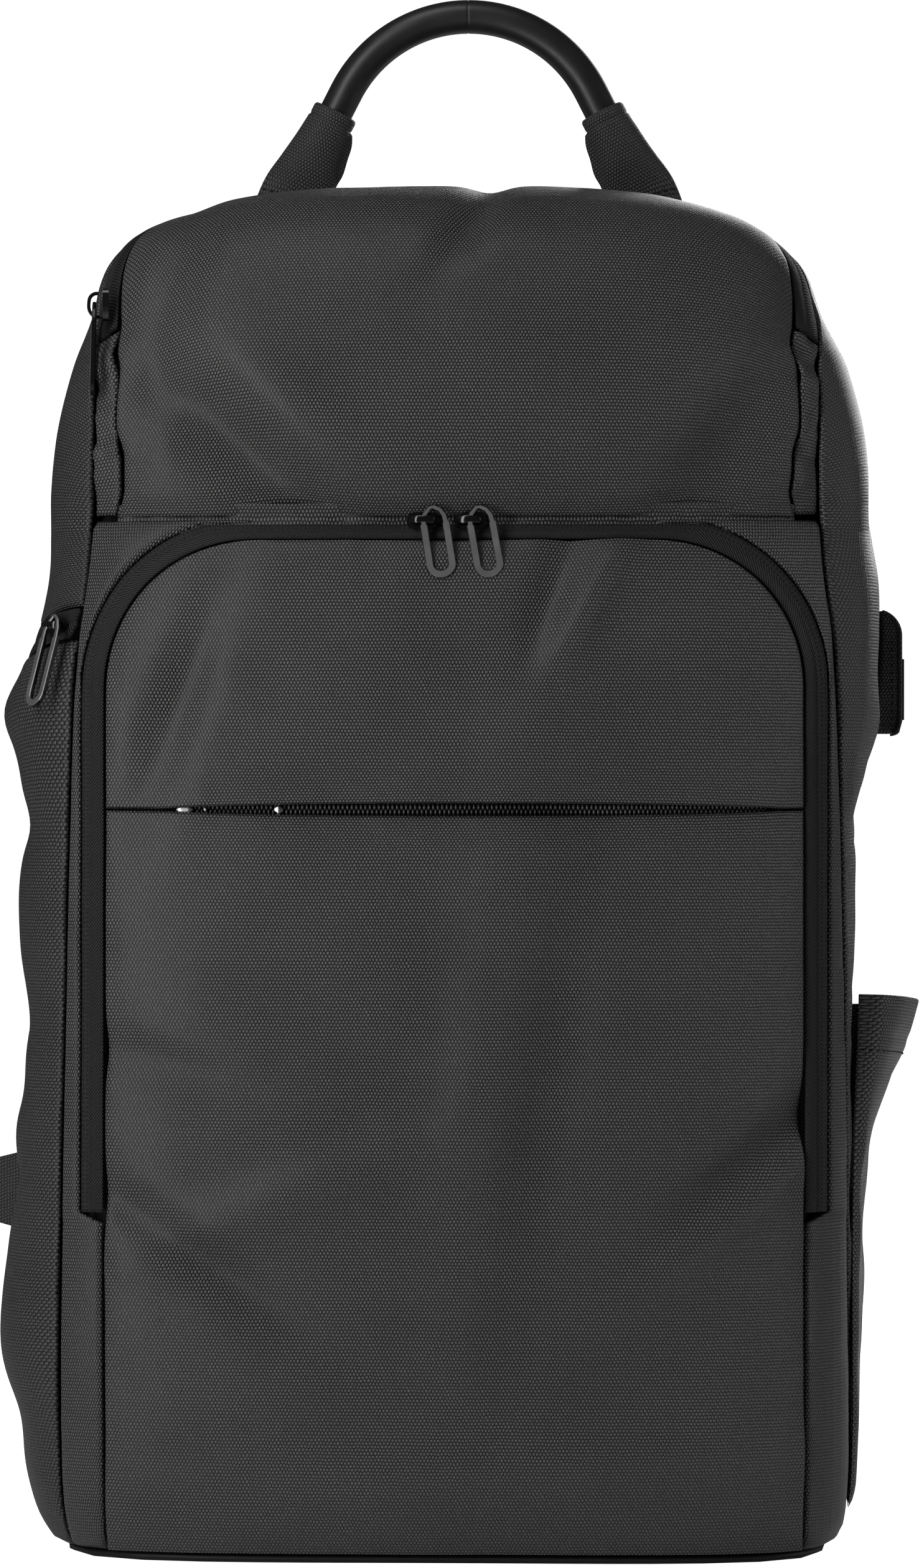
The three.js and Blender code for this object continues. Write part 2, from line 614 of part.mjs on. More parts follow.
// Zip slider and its flat loop pull: x along the zip, z up, -y outward.
function sliderBody() {
  const leaf = new THREE.Shape();
  leaf.moveTo(-5.8, 0);
  leaf.quadraticCurveTo(-3.2, 3.6, 0, 3.6);
  leaf.quadraticCurveTo(3.2, 3.6, 5.8, 0);
  leaf.quadraticCurveTo(3.2, -3.6, 0, -3.6);
  leaf.quadraticCurveTo(-3.2, -3.6, -5.8, 0);
  const plate = new THREE.ExtrudeGeometry(leaf, { depth: 1.8, bevelEnabled: false, curveSegments: 4 });
  plate.rotateX(Math.PI / 2);
  const arch = new THREE.Shape([
    [-4.7, 0], [4.7, 0], [4.3, 4.4], [2.9, 5.7], [-2.9, 5.7], [-4.3, 4.4],
  ].map((p) => new THREE.Vector2(...p)));
  const hollow = [[-3, 0.5], [-2.6, 4.2], [2.6, 4.2], [3, 0.5]];
  arch.holes.push(new THREE.Path(hollow.map((p) => new THREE.Vector2(...p))));
  const crown = new THREE.ExtrudeGeometry(arch, { depth: 2.6, bevelEnabled: false });
  crown.translate(0, 0, -1.3);
  crown.rotateX(Math.PI);
  crown.translate(0, -1.7, 0);
  return fromManifold(toManifold(plate).add(toManifold(crown)));
}

function pullLoop(long, top) {
  const { wide, thick, leg } = PULL;
  const quarter = (x, z, r, from) =>
    steps(from, from + 90, 4).map((a) =>
      new THREE.Vector2(x + r * Math.cos(rad(a)), z + r * Math.sin(rad(a))));
  const ring = (half, top, low, r) => [
    ...quarter(half - r, top - r, r, 0),
    ...quarter(r - half, top - r, r, 90),
    ...quarter(r - half, low + r, r, 180),
    ...quarter(half - r, low + r, r, 270),
  ];
  const outline = new THREE.Shape(ring(wide / 2, top, top - long, wide / 2 - 0.8));
  const slot = ring(wide / 2 - leg, top - leg, top - long + leg, wide / 2 - leg - 0.6);
  outline.holes.push(new THREE.Path(slot.reverse()));
  const g = new THREE.ExtrudeGeometry(outline, { depth: thick, bevelEnabled: false, curveSegments: 4 });
  g.rotateX(Math.PI / 2);
  g.translate(0, thick / 2, 0);
  return g;
}

// Sliders and pulls, one row each: turn about the upright, tip of the slider, lean out and swing of
// the pull, length of the pull, and whether the zip runs upright.
const FOBS = {
  front_zip_a: { yaw: 0, tip: 18, lean: 15, swing: -8, long: 27.5, upright: false },
  front_zip_b: { yaw: 0, tip: 18, lean: 15, swing: -8, long: 27.5, upright: false },
  crown_zip: { yaw: -86, tip: 0, lean: 1, swing: -15, long: 35, upright: true },
  side_zip: { yaw: -50, tip: 0, lean: 18, swing: -2, long: 35, upright: false },
};
function zipFob(name, spot) {
  const { yaw, tip, lean, swing, long, upright } = FOBS[name];
  const body = sliderBody();
  const pull = pullLoop(long, upright ? 1.2 : 4.3 + 5.4 * Math.sin(rad(tip)));
  if (upright) body.rotateY(Math.PI / 2);
  body.rotateX(rad(-tip));
  pull.rotateY(rad(swing));
  pull.rotateX(rad(-lean));
  pull.translate(upright ? 0 : PULL.wide / 2 - PULL.leg / 2, -4.1, 0);
  for (const g of [body, pull]) {
    g.rotateZ(rad(yaw));
    g.translate(spot.x, spot.y, spot.z);
  }
  add(`${name}_slider`, body, "gloss");
  add(`${name}_pull`, pull, "satin");
}

// Slit pocket zip: a tape with two rows of coil behind the gap of the front panels
function slitZip() {
  const lines = [-7, -2.6, 0, 2.6, 7];
  const xs = steps(-1, 1, 16).map((u) => u * (ARCH.half - 4));
  return grid(lines, xs, (dz, x) => {
    const bump = Math.abs(dz) < 3 ? (dz === 0 ? 0.7 : 1.2) : 0;
    return place(onFront(x, SLIT_Z + dz), 1 + bump, -CLOTH - 2.6 + bump);
  });
}
function slitPart(from, to, half, lift) {
  const cells = grid([-half, half], steps(from, to, 3), (dz, x) =>
    place(onFront(x, SLIT_Z + dz), 0.6, -CLOTH - 2.2 + lift));
  return cells;
}

// Open bottle pocket on the right side
const BOTTLE_ROWS = [
  { z: 16, stand: 0 },
  { z: 50, stand: 0.4 },
  { z: 95, stand: 1.2 },
  { z: 130, stand: 2.6 },
  { z: 150, stand: 5.5 },
  { z: 168, stand: 12.5 },
  { z: 184, stand: 19 },
  { z: 196, stand: 22.5 },
];
function bottlePocket() {
  const side = (y, z) => reach([0, y, z], [1, 0, 0]);
  const across = steps(0, 1, 10);
  return BOTTLE_ROWS.map((row) => across.map((v) => {
    const y = lerp(BOTTLE.front, BOTTLE.back, v);
    const z = row.z + (row.z > 120 ? 4 * (1 - 1.6 * v) * ((row.z - 120) / 76) : 0);
    const p = side(y, z);
    const n = outward(p);
    const edge = Math.min(v, 1 - v);
    const bow = Math.sqrt(clamp(Math.sin(Math.PI * clamp(v * 0.92 + 0.04, 0, 1)) - 0.1, 0, 1));
    const stand = 1 + BOTTLE.thick + row.stand * (edge < 0.02 ? 0 : bow);
    return { p: p.clone().addScaledVector(n, stand), n: new THREE.Vector3(1, 0, 0), t: BOTTLE.thick };
  }));
}

// Power outlet tab on the right side: its inner face follows the side, its top outer corner is round
const TAB = { low: 295, high: 340, out: 161.2, y: 23, wide: 22, round: 9 };
function usbTab() {
  const shoulder = TAB.high - TAB.round;
  const lower = [0, 0.6, 2].map((h) => TAB.low + h);
  const upper = [0, 3, 6, 8, TAB.round].map((h) => shoulder + h);
  const heights = [...lower, ...steps(lower[2], shoulder, 3).slice(1, 3), ...upper];
  const rings = heights.map((z) => {
    const inner = reach([0, TAB.y, z], [1, 0, 0]).x + SEAM;
    const over = Math.max(0, z - (TAB.high - TAB.round));
    const under = Math.max(0, TAB.low + 2 - z);
    const outer = TAB.out - TAB.round + Math.sqrt(TAB.round ** 2 - over ** 2) - under * 0.5;
    const tuck = z === TAB.high ? 1.5 : 0;
    const right = Math.max(outer, inner + 1.5);
    const centre = new THREE.Vector3((inner + right) / 2, TAB.y, z);
    const half = TAB.wide / 2 - tuck;
    return rounded(centre, new THREE.Vector3(1, 0, 0), new THREE.Vector3(0, 1, 0), (right - inner) / 2, half, 1.6);
  });
  return loft(rings);
}
function usbPlate() {
  const high = (TAB.high - TAB.low) / 2;
  const g = new THREE.BoxGeometry(0.9, TAB.wide / 2, high);
  g.translate(TAB.out + 0.75, TAB.y, TAB.low + 5 + high / 2);
  return g;
}

// A flat strap along a path: rows of point, width and thickness with a given sideways direction.
function band(rows, corner = 0.45) {
  const rings = rows.map((row, i) => {
    const a = rows[Math.max(i - 1, 0)].p;
    const b = rows[Math.min(i + 1, rows.length - 1)].p;
    const way = new THREE.Vector3().subVectors(b, a).normalize();
    const flat = row.side.clone().addScaledVector(way, -way.dot(row.side)).normalize();
    const deep = new THREE.Vector3().crossVectors(way, flat).normalize();
    const half = row.thick / 2;
    return rounded(row.p, flat, deep, row.wide / 2, half, half * corner * 2);
  });
  return loft(rings);
}

// Padded shoulder strap, one row each: place, width, thickness
const STRAP_ROWS = [
  { x: 52, y: -9.8, z: 447, wide: 56, thick: 3.5 },
  { x: 53, y: -2, z: 440, wide: 58, thick: 5.5 },
  { x: 55, y: 12, z: 428, wide: 61, thick: 9 },
  { x: 60, y: 33, z: 400, wide: 62, thick: 10 },
  { x: 67, y: 46, z: 355, wide: 62, thick: 10 },
  { x: 78, y: 50, z: 305, wide: 61, thick: 10 },
  { x: 90, y: 46, z: 255, wide: 58, thick: 10 },
  { x: 103, y: 37, z: 212, wide: 52, thick: 9 },
  { x: 115, y: 27, z: 178, wide: 42, thick: 7 },
  { x: 120.6, y: 21, z: 159, wide: 33, thick: 4 },
  { x: 123.8, y: 20, z: 151.95, wide: 30, thick: 3.2 },
];
// Lower anchor tabs: how far out each starts and ends; the left side of the bag bulges further
const ANCHORS = { left: { from: 150, to: 178 }, right: { from: 122, to: 148.5 } };
const LOCK = { x: 130, off: 25.4, z: 138, thick: 4, turn: 24, half: 16.5, high: 14.5 };
const BACK_FACE = 82.5;

function strap(side) {
  const rows = STRAP_ROWS.map((r) => ({
    p: new THREE.Vector3(side * r.x, BACK_FACE + 3.4 + r.y, r.z),
    side: new THREE.Vector3(1, 0, side * 0.25).normalize(),
    wide: r.wide,
    thick: r.thick,
  }));
  return band(rows, 0.8);
}
function ladderLock(side) {
  const box = (half, low, high) =>
    [[-half, low], [half, low], [half, high], [-half, high]].map((p) => new THREE.Vector2(...p));
  const shape = new THREE.Shape(box(LOCK.half, -LOCK.high, LOCK.high));
  for (const z of [-10.5, -2, 6.5]) shape.holes.push(new THREE.Path(box(13, z, z + 4.2).reverse()));
  const g = new THREE.ExtrudeGeometry(shape, { depth: LOCK.thick, bevelEnabled: false });
  g.rotateX(Math.PI / 2);
  g.rotateY(rad(side * -LOCK.turn));
  g.translate(side * LOCK.x, BACK_FACE + LOCK.off, LOCK.z);
  return g;
}
const upright = new THREE.Vector3(0, 0, 1);
const TAB_THICK = 2.6;
const ANCHOR_Z = 122.5;
const tabY = (side, x) => onBack(side * x, ANCHOR_Z).y + 1.9 + TAB_THICK / 2;
function anchorTab(side, { from, to }) {
  const start = tabY(side, from);
  const rows = [
    { x: from, y: start, wide: 38 },
    { x: lerp(from, to, 0.5), y: start + 2.4, wide: 32 },
    { x: to, y: start + 6, wide: 25 },
  ];
  return band(rows.map((r) => ({
    p: new THREE.Vector3(side * r.x, r.y, ANCHOR_Z),
    side: upright,
    wide: r.wide,
    thick: TAB_THICK,
  })));
}
function strapWebbing(side, { from, to }) {
  const tab = tabY(side, from) + 6 + TAB_THICK / 2;
  const half = WEBBING.thick / 2;
  const lock = BACK_FACE + LOCK.off - LOCK.thick - half - 0.35;
  const rows = [
    { x: to - 0.5, y: tab + half + 0.4, z: ANCHOR_Z },
    { x: to - 6, y: tab + half + 1.6, z: ANCHOR_Z + 0.1 },
    { x: lerp(to, LOCK.x, 0.5), y: lerp(tab, lock, 0.6), z: ANCHOR_Z + 1.5 },
    { x: LOCK.x + 8, y: lock, z: ANCHOR_Z + 3 },
    { x: LOCK.x - 6, y: lock, z: ANCHOR_Z + 3.5 },
  ];
  return band(rows.map((r) => ({
    p: new THREE.Vector3(side * r.x, r.y, r.z),
    side: upright,
    wide: WEBBING.wide,
    thick: WEBBING.thick,
  })));
}

// Assembly
const level = (heights) => heights.map((z) => ({ z, tilt: 0 }));
const calm = LEFT_ZIP.low - LEFT_ZIP.calm;
const ROOF = CREASE_Z - 3.5;
const LEFT_LOW = [
  ...level([WALL_FOOT_Z, 12, ...steps(30, calm, 8)]),
  { z: lerp(calm, LEFT_ZIP.low, 1 / 3), tilt: 0.3 },
  { z: lerp(calm, LEFT_ZIP.low, 2 / 3), tilt: 0.7 },
  { z: LEFT_ZIP.low, tilt: 1 },
];
const LEFT_HIGH = [
  { z: LEFT_ZIP.high, tilt: 1 },
  { z: lerp(LEFT_ZIP.high, ROOF, 0.5), tilt: 0.5 },
  { z: ROOF, tilt: 0 },
];
const RIGHT = level([WALL_FOOT_Z, 12, ...steps(35, ROOF, 11)]);

add("back_panel", sheet(backPanel()), "mesh");
add("base_panel", basePlate(), "cloth");
add("front_panel_upper", sheet(frontUpper()), "cloth");
add("front_panel_lower", sheet(frontLower()), "cloth");
add("arch_zip_tape", sheet(archTape()), "tape");
add("front_gusset_left", sheet(frontGusset(-1)), "cloth");
add("front_gusset_right", sheet(frontGusset(1)), "cloth");
add("crown_panel", sheet(crownPanel()), "cloth");
add("crown_zip_tape", sheet(crownTape()), "tape");
add("crown_strip_left", sheet(crownStrip(-1)), "cloth");
add("crown_strip_right", sheet(crownStrip(1)), "cloth");
add("top_gusset", sheet(topGusset()), "cloth");
add("side_panel_right", sheet(sideBand(1, RIGHT, true)), "cloth");
add("side_panel_left", sheet(sideBand(-1, LEFT_HIGH, true)), "cloth");
add("side_pocket_left", sheet(sideBand(-1, LEFT_LOW, false)), "cloth");
add("side_zip_tape", sheet(sideTape()), "tape");
function sideTape() {
  const rows = [LEFT_ZIP.low + SEAM, (LEFT_ZIP.low + LEFT_ZIP.high) / 2, LEFT_ZIP.high - SEAM];
  return rows.map((z) =>
    bandRow(bandFront(-1, z + LEFT_ZIP.rise), BACK_SEAM_Y - SEAM, TAPE_THICK, false, 1).map((g) => ({
      ...g,
      p: g.p.clone().addScaledVector(g.n, -TAPE_SUNK),
    })));
}
add("slit_zip", sheet(slitZip()), "coil");
add("slit_slider", sheet(slitPart(-98, -88, 2.2, 1.6)), "steel");
add("slit_slider_pull", sheet(slitPart(-84, -60, 1.4, 1.6)), "satin");
add("bottle_pocket", sheet(bottlePocket()), "cloth");
add("usb_tab", usbTab(), "plastic");
add("usb_plate", usbPlate(), "plastic");
add("handle_bar", bar(handlePath(HANDLE_FOOT + 0.4), HANDLE.tube, 14), "tube");
add("handle_sleeve_left", sleeve(-1), "cloth");
add("handle_sleeve_right", sleeve(1), "cloth");
const onTape = (p, lift) => p.addScaledVector(outward(p), lift);
const overArch = ARCH.top + TAPE_WIDE / 2 + 0.2;
zipFob("front_zip_a", onTape(onFront(-11, overArch), 0.9));
zipFob("front_zip_b", onTape(onFront(5.5, overArch), 0.9));
const besideCrown = CROWN.half + TAPE_WIDE / 2 + 0.1;
zipFob("crown_zip", onFront(-besideCrown, CREASE_Z + 77).add(new THREE.Vector3(0, -7.2, 0)));
const sideZipZ = (LEFT_ZIP.low + LEFT_ZIP.high) / 2 + LEFT_ZIP.rise - 1;
zipFob("side_zip", onTape(onFront(-142, sideZipZ), 1.1));
for (const side of [-1, 1]) {
  const word = side < 0 ? "left" : "right";
  add(`shoulder_strap_${word}`, strap(side), "cloth");
  add(`ladder_lock_${word}`, ladderLock(side), "plastic");
  add(`anchor_tab_${word}`, anchorTab(side, ANCHORS[word]), "cloth");
  add(`strap_webbing_${word}`, strapWebbing(side, ANCHORS[word]), "webbing");
}

export default group;
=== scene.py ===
"""Looks of the laptop backpack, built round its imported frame.

Every piece is made in the frame of the part: the flat base stands on z 0, the front faces -Y and the
right side of the front is +X. Sizes in this file are millimetres and are turned into metres where a
mesh is written.
"""

from __future__ import annotations

import logging
import math
from dataclasses import dataclass
from enum import Enum
from typing import Callable, Iterable, NamedTuple

import bmesh
import bpy
import numpy as np
from mathutils import Matrix, Vector


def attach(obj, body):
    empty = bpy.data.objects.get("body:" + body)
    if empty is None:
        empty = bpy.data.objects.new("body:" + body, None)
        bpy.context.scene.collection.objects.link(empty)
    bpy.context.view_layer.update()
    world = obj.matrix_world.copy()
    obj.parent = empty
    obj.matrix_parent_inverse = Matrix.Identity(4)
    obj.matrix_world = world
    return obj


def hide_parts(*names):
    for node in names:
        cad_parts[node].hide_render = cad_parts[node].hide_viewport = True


log = logging.getLogger("backpack")

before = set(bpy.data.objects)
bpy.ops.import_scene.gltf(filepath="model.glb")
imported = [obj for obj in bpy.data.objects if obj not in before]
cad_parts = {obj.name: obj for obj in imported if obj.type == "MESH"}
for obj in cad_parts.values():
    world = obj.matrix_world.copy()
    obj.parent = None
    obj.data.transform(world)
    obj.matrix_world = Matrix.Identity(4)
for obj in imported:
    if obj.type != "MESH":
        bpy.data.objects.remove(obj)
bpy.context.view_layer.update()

MM = 0.001
CLOTH_LAYER = "cloth"

# Seams and edges, as in the part
SEAM = 0.6
TAPE_WIDE = 8.6
SLIT_Z = 267.5
FOOT_Z = 3.2
CREASE_Z = 371.0
TOP_Z = 492.0
CROWN_DEEP = 74
CROWN_WIDE = 150
BACK_SEAM_Y = 66.0
BACK_FACE = 82.5

# Left pocket zip: its edges, its rise in front, and the reach of its tilt in the cloth below and above
ZIP_LOW = 320
ZIP_HIGH = 332
LEFT_RISE = 8.0
TILT_FROM = 254
TILT_OVER = 35


class Section(NamedTuple):
    """One level of the soft body."""

    z: float
    left: float
    right: float
    front: float
    back: float


SECTIONS = [
    Section(0, 143, 133.5, 73, 71),
    Section(14, 152.5, 140, 79, 77),
    Section(42, 159.5, 142, 82, 79),
    Section(76, 166.5, 142, 83, 79),
    Section(111, 163.5, 142, 83, 79),
    Section(152, 161, 142.5, 83, 79),
    Section(193, 158, 143.5, 82.5, 79),
    Section(235, 159.5, 143.5, 82, 79),
    Section(262, 158, 145, 81.5, 79),
    Section(290, 160.5, 147.8, 81, 79),
    Section(304, 162, 149.5, 80, 79),
    Section(318, 158, 151.5, 79, 79),
    Section(332, 152.5, 152.3, 77.5, 79),
    Section(350, 149.8, 152, 75, 79),
    Section(364, 149.6, 150.2, 70.5, 79),
    Section(371, 149.2, 149.6, 67, 79),
    Section(381, 148.6, 149, 70.5, 79),
    Section(398, 147.3, 148, 73.5, 79),
    Section(428, 145.5, 146, 74, 78),
    Section(446, 147, 144.6, 74, 78),
    Section(465, 159.6, 154, 74, 78),
    Section(480, 174, 163, 74, 78),
    Section(492, 186, 170, 74, 78),
]


class SeamPoint(NamedTuple):
    """One level of the front seam between the gusset and the side."""

    z: float
    x: float


SIDE_SEAM = [
    SeamPoint(0, 137),
    SeamPoint(20, 140.5),
    SeamPoint(60, 141),
    SeamPoint(200, 139),
    SeamPoint(318, 135.5),
    SeamPoint(353, 131),
    SeamPoint(371, 130),
]


@dataclass(frozen=True)
class Fold:
    """A soft ridge or dent of the cloth.

    Attributes:
        x: Middle, across the panel.
        z: Middle, up the panel.
        along: Reach along the fold.
        across: Reach across the fold.
        turn: Direction of the fold in degrees from level.
        up: Height off the skin, minus for a dent.
        sharp: One is a soft hump, and larger values pinch the middle to a crease.
    """

    x: float
    z: float
    along: float
    across: float
    turn: float
    up: float
    sharp: float = 1.0

    def height(self, x: np.ndarray, z: np.ndarray) -> np.ndarray:
        """Height of the fold at places on its panel.

        Args:
            x: Places across.
            z: Places up.

        Returns:
            Heights in millimetres.
        """
        c, s = math.cos(math.radians(self.turn)), math.sin(math.radians(self.turn))
        a = ((x - self.x) * c + (z - self.z) * s) / self.along
        b = (-(x - self.x) * s + (z - self.z) * c) / self.across
        return self.up * np.exp(-a * a - np.abs(b) ** (2.0 / self.sharp))


FRONT_FOLDS = [
    Fold(14, 190, 120, 16, 84, 1.6),
    Fold(38, 180, 110, 13, 80, -1.4),
    Fold(-60, 130, 60, 10, 20, 1.5),
    Fold(-95, 112, 45, 8, -35, -2.0),
    Fold(104, 140, 48, 9, 42, -2.4),
    Fold(92, 122, 46, 9, 40, 1.8),
    Fold(-106, 178, 40, 9, -14, -1.6),
    Fold(48, 338, 26, 7, 62, 1.8),
    Fold(34, 344, 24, 6, 70, -1.4),
    Fold(-98, 305, 40, 9, 70, -1.6),
    Fold(0, 30, 120, 14, 4, 1.2),
]
CROWN_FOLDS = [
    Fold(-80, 398, 46, 13, -42, -3.4),
    Fold(-58, 412, 44, 12, -40, 2.0),
    Fold(100, 402, 42, 14, 56, -2.6),
    Fold(6, 480, 20, 7, 62, -1.6),
    Fold(-104, 440, 50, 10, 78, -1.4),
    Fold(20, 420, 120, 22, 2, 1.8),
]
SIDE_FOLDS = [
    Fold(-20, 300, 60, 12, -10, 1.5),
    Fold(0, 268, 70, 9, 8, -2.2),
    Fold(-15, 205, 60, 12, 30, -1.8),
    Fold(10, 178, 60, 10, 12, -2.2),
    Fold(-10, 120, 70, 12, -24, -2.0),
    Fold(0, 44, 70, 11, -8, -1.8),
    Fold(10, 395, 60, 12, 40, -1.4),
]
FOLD_DEPTH = 2.5


def fold_sum(folds: Iterable[Fold], x: np.ndarray, z: np.ndarray) -> np.ndarray:
    """Adds up the folds of a panel.

    Args:
        folds: The folds.
        x: Places across.
        z: Places up.

    Returns:
        Heights in millimetres.
    """
    total = np.zeros_like(x, dtype=float)
    for one in folds:
        total += one.height(x, z)
    return total * FOLD_DEPTH


def length_along(points: np.ndarray) -> np.ndarray:
    """Length of a line of points up to each of them."""
    gap = np.linalg.norm(np.diff(points, axis=0), axis=-1)
    return np.concatenate([[0], np.cumsum(gap)])


def between(t: np.ndarray, width: np.ndarray, value: np.ndarray, slope: np.ndarray,
            i: np.ndarray) -> np.ndarray:
    """Reads a smooth curve between its rows.

    Args:
        t: Share of the way from row i to the next.
        width: Distance between the two rows.
        value: The curve's rows.
        slope: Its slope at every row.
        i: Number of the lower row.

    Returns:
        The curve's values there.
    """
    return (
        (2 * t**3 - 3 * t**2 + 1) * value[i]
        + (t**3 - 2 * t**2 + t) * slope[i] * width
        + (-2 * t**3 + 3 * t**2) * value[i + 1]
        + (t**3 - t**2) * slope[i + 1] * width
    )


def smooth_read(rows: list, column: str, z: np.ndarray) -> np.ndarray:
    """Reads one column of a table smoothly between its rows.

    Args:
        rows: Rows in order of z.
        column: Name of the column.
        z: Levels to read at.

    Returns:
        The column's values there.
    """
    zs = np.array([r.z for r in rows], float)
    vs = np.array([getattr(r, column) for r in rows], float)
    slope = np.empty_like(vs)
    slope[1:-1] = (vs[2:] - vs[:-2]) / (zs[2:] - zs[:-2])
    slope[0] = (vs[1] - vs[0]) / (zs[1] - zs[0])
    slope[-1] = (vs[-1] - vs[-2]) / (zs[-1] - zs[-2])
    level = np.clip(np.asarray(z, float), zs[0], zs[-1])
    i = np.clip(np.searchsorted(zs, level, side="left") - 1, 0, len(zs) - 2)
    width = zs[i + 1] - zs[i]
    return between((level - zs[i]) / width, width, vs, slope, i)


def value_noise(u: np.ndarray, v: np.ndarray, size: float, seed: int) -> np.ndarray:
    """Smooth seeded noise from minus one to one over a cloth.

    Args:
        u: Places across, in millimetres.
        v: Places up, in millimetres.
        size: Width of one patch, in millimetres.
        seed: Seed of the pattern.

    Returns:
        The noise at each place.
    """
    cells = 97
    lattice = np.random.default_rng(seed).uniform(-1, 1, (cells, cells))
    a, b = np.asarray(u) / size + 31.7, np.asarray(v) / size + 17.3
    i, j = np.floor(a).astype(int), np.floor(b).astype(int)
    fa, fb = a - i, b - j
    fa, fb = fa**3 * (fa * (fa * 6 - 15) + 10), fb**3 * (fb * (fb * 6 - 15) + 10)
    i, j, k, m = i % cells, j % cells, (i + 1) % cells, (j + 1) % cells
    low = lattice[i, j] * (1 - fa) + lattice[k, j] * fa
    high = lattice[i, m] * (1 - fa) + lattice[k, m] * fa
    return low * (1 - fb) + high * fb


class SoftBody:
    """The soft outer form of the bag, which every cloth panel follows.

    Attributes:
        DOME: Roundness of the crown.
        FRONT: Squareness of the front corners.
        BACK: Squareness of the back corners.
    """

    DOME = 2.9
    FRONT = 4.4
    BACK = 7.0

    def inside(self, p: np.ndarray) -> np.ndarray:
        """Less than zero inside the form and zero on its skin, for points of shape (..., 3)."""
        x, y, z = p[..., 0], p[..., 1], p[..., 2]
        half = np.where(
            x < 0, smooth_read(SECTIONS, "left", z), smooth_read(SECTIONS, "right", z)
        )
        deep = np.where(
            y < 0, smooth_read(SECTIONS, "front", z), smooth_read(SECTIONS, "back", z)
        )
        power = np.where(y < 0, self.FRONT, self.BACK)
        flat = (np.abs(x / half) ** power + np.abs(y / deep) ** power) ** (1 / power)
        rise = np.maximum(0, (z - CREASE_Z) / (TOP_Z - CREASE_Z))
        return flat**self.DOME + rise**self.DOME - 1

    def reach(self, start: np.ndarray, way: np.ndarray, far: float = 320) -> np.ndarray:
        """Where rays from inner points leave the skin.

        Args:
            start: Inner points, shape (..., 3).
            way: Unit directions, shape (..., 3).
            far: Longest ray.

        Returns:
            Points on the skin.
        """
        start, way = np.broadcast_arrays(start, way)
        near = np.zeros(start.shape[:-1])
        most = np.full(start.shape[:-1], float(far))
        for _ in range(26):
            mid = (near + most) / 2
            within = self.inside(start + way * mid[..., None]) < 0
            near = np.where(within, mid, near)
            most = np.where(within, most, mid)
        return start + way * near[..., None]

    def outward(self, p: np.ndarray) -> np.ndarray:
        """Outward direction of the skin at points of shape (..., 3)."""
        q = p.copy()
        q[..., 2] = np.maximum(q[..., 2], 14)
        step = np.eye(3) * 0.4
        n = np.stack(
            [self.inside(q + step[k]) - self.inside(q - step[k]) for k in range(3)], -1
        )
        return n / np.linalg.norm(n, axis=-1, keepdims=True)

    def on_front(self, x: np.ndarray, z: np.ndarray, way: float = -1.0) -> np.ndarray:
        """Points of the front skin, or with a way of 1 the back skin, at places across and up."""
        x, z = np.broadcast_arrays(np.asarray(x, float), np.asarray(z, float))
        start = np.stack([x, np.zeros_like(x), z], -1)
        return self.reach(start, np.array([0.0, way, 0.0]))

    def on_back(self, x: np.ndarray, z: np.ndarray) -> np.ndarray:
        """Points of the back skin at places across and up."""
        return self.on_front(x, z, 1.0)

    def on_side(self, side: int, y: np.ndarray, z: np.ndarray) -> np.ndarray:
        """Points of the left (-1) or right (1) skin at places deep and up."""
        y, z = np.broadcast_arrays(np.asarray(y, float), np.asarray(z, float))
        start = np.stack([np.zeros_like(y), y, z], -1)
        return self.reach(start, np.array([float(side), 0.0, 0.0]))

    def on_crown(self, x: np.ndarray, angle: np.ndarray) -> np.ndarray:
        """Points of the crown, from the crease at angle 0 up and over to the top at 90."""
        x, angle = np.broadcast_arrays(np.asarray(x, float), np.asarray(angle, float))
        a = np.radians(angle)
        way = np.stack(
            [np.zeros_like(a), -CROWN_DEEP * np.cos(a), (TOP_Z - CREASE_Z) * np.sin(a)], -1
        )
        way /= np.linalg.norm(way, axis=-1, keepdims=True)
        start = np.stack([x, np.zeros_like(x), np.full_like(x, CREASE_Z)], -1)
        return self.reach(start, way)


BODY = SoftBody()


def seam_x(z: np.ndarray) -> np.ndarray:
    """Place across of the front side seam at a level."""
    return smooth_read(SIDE_SEAM, "x", z)


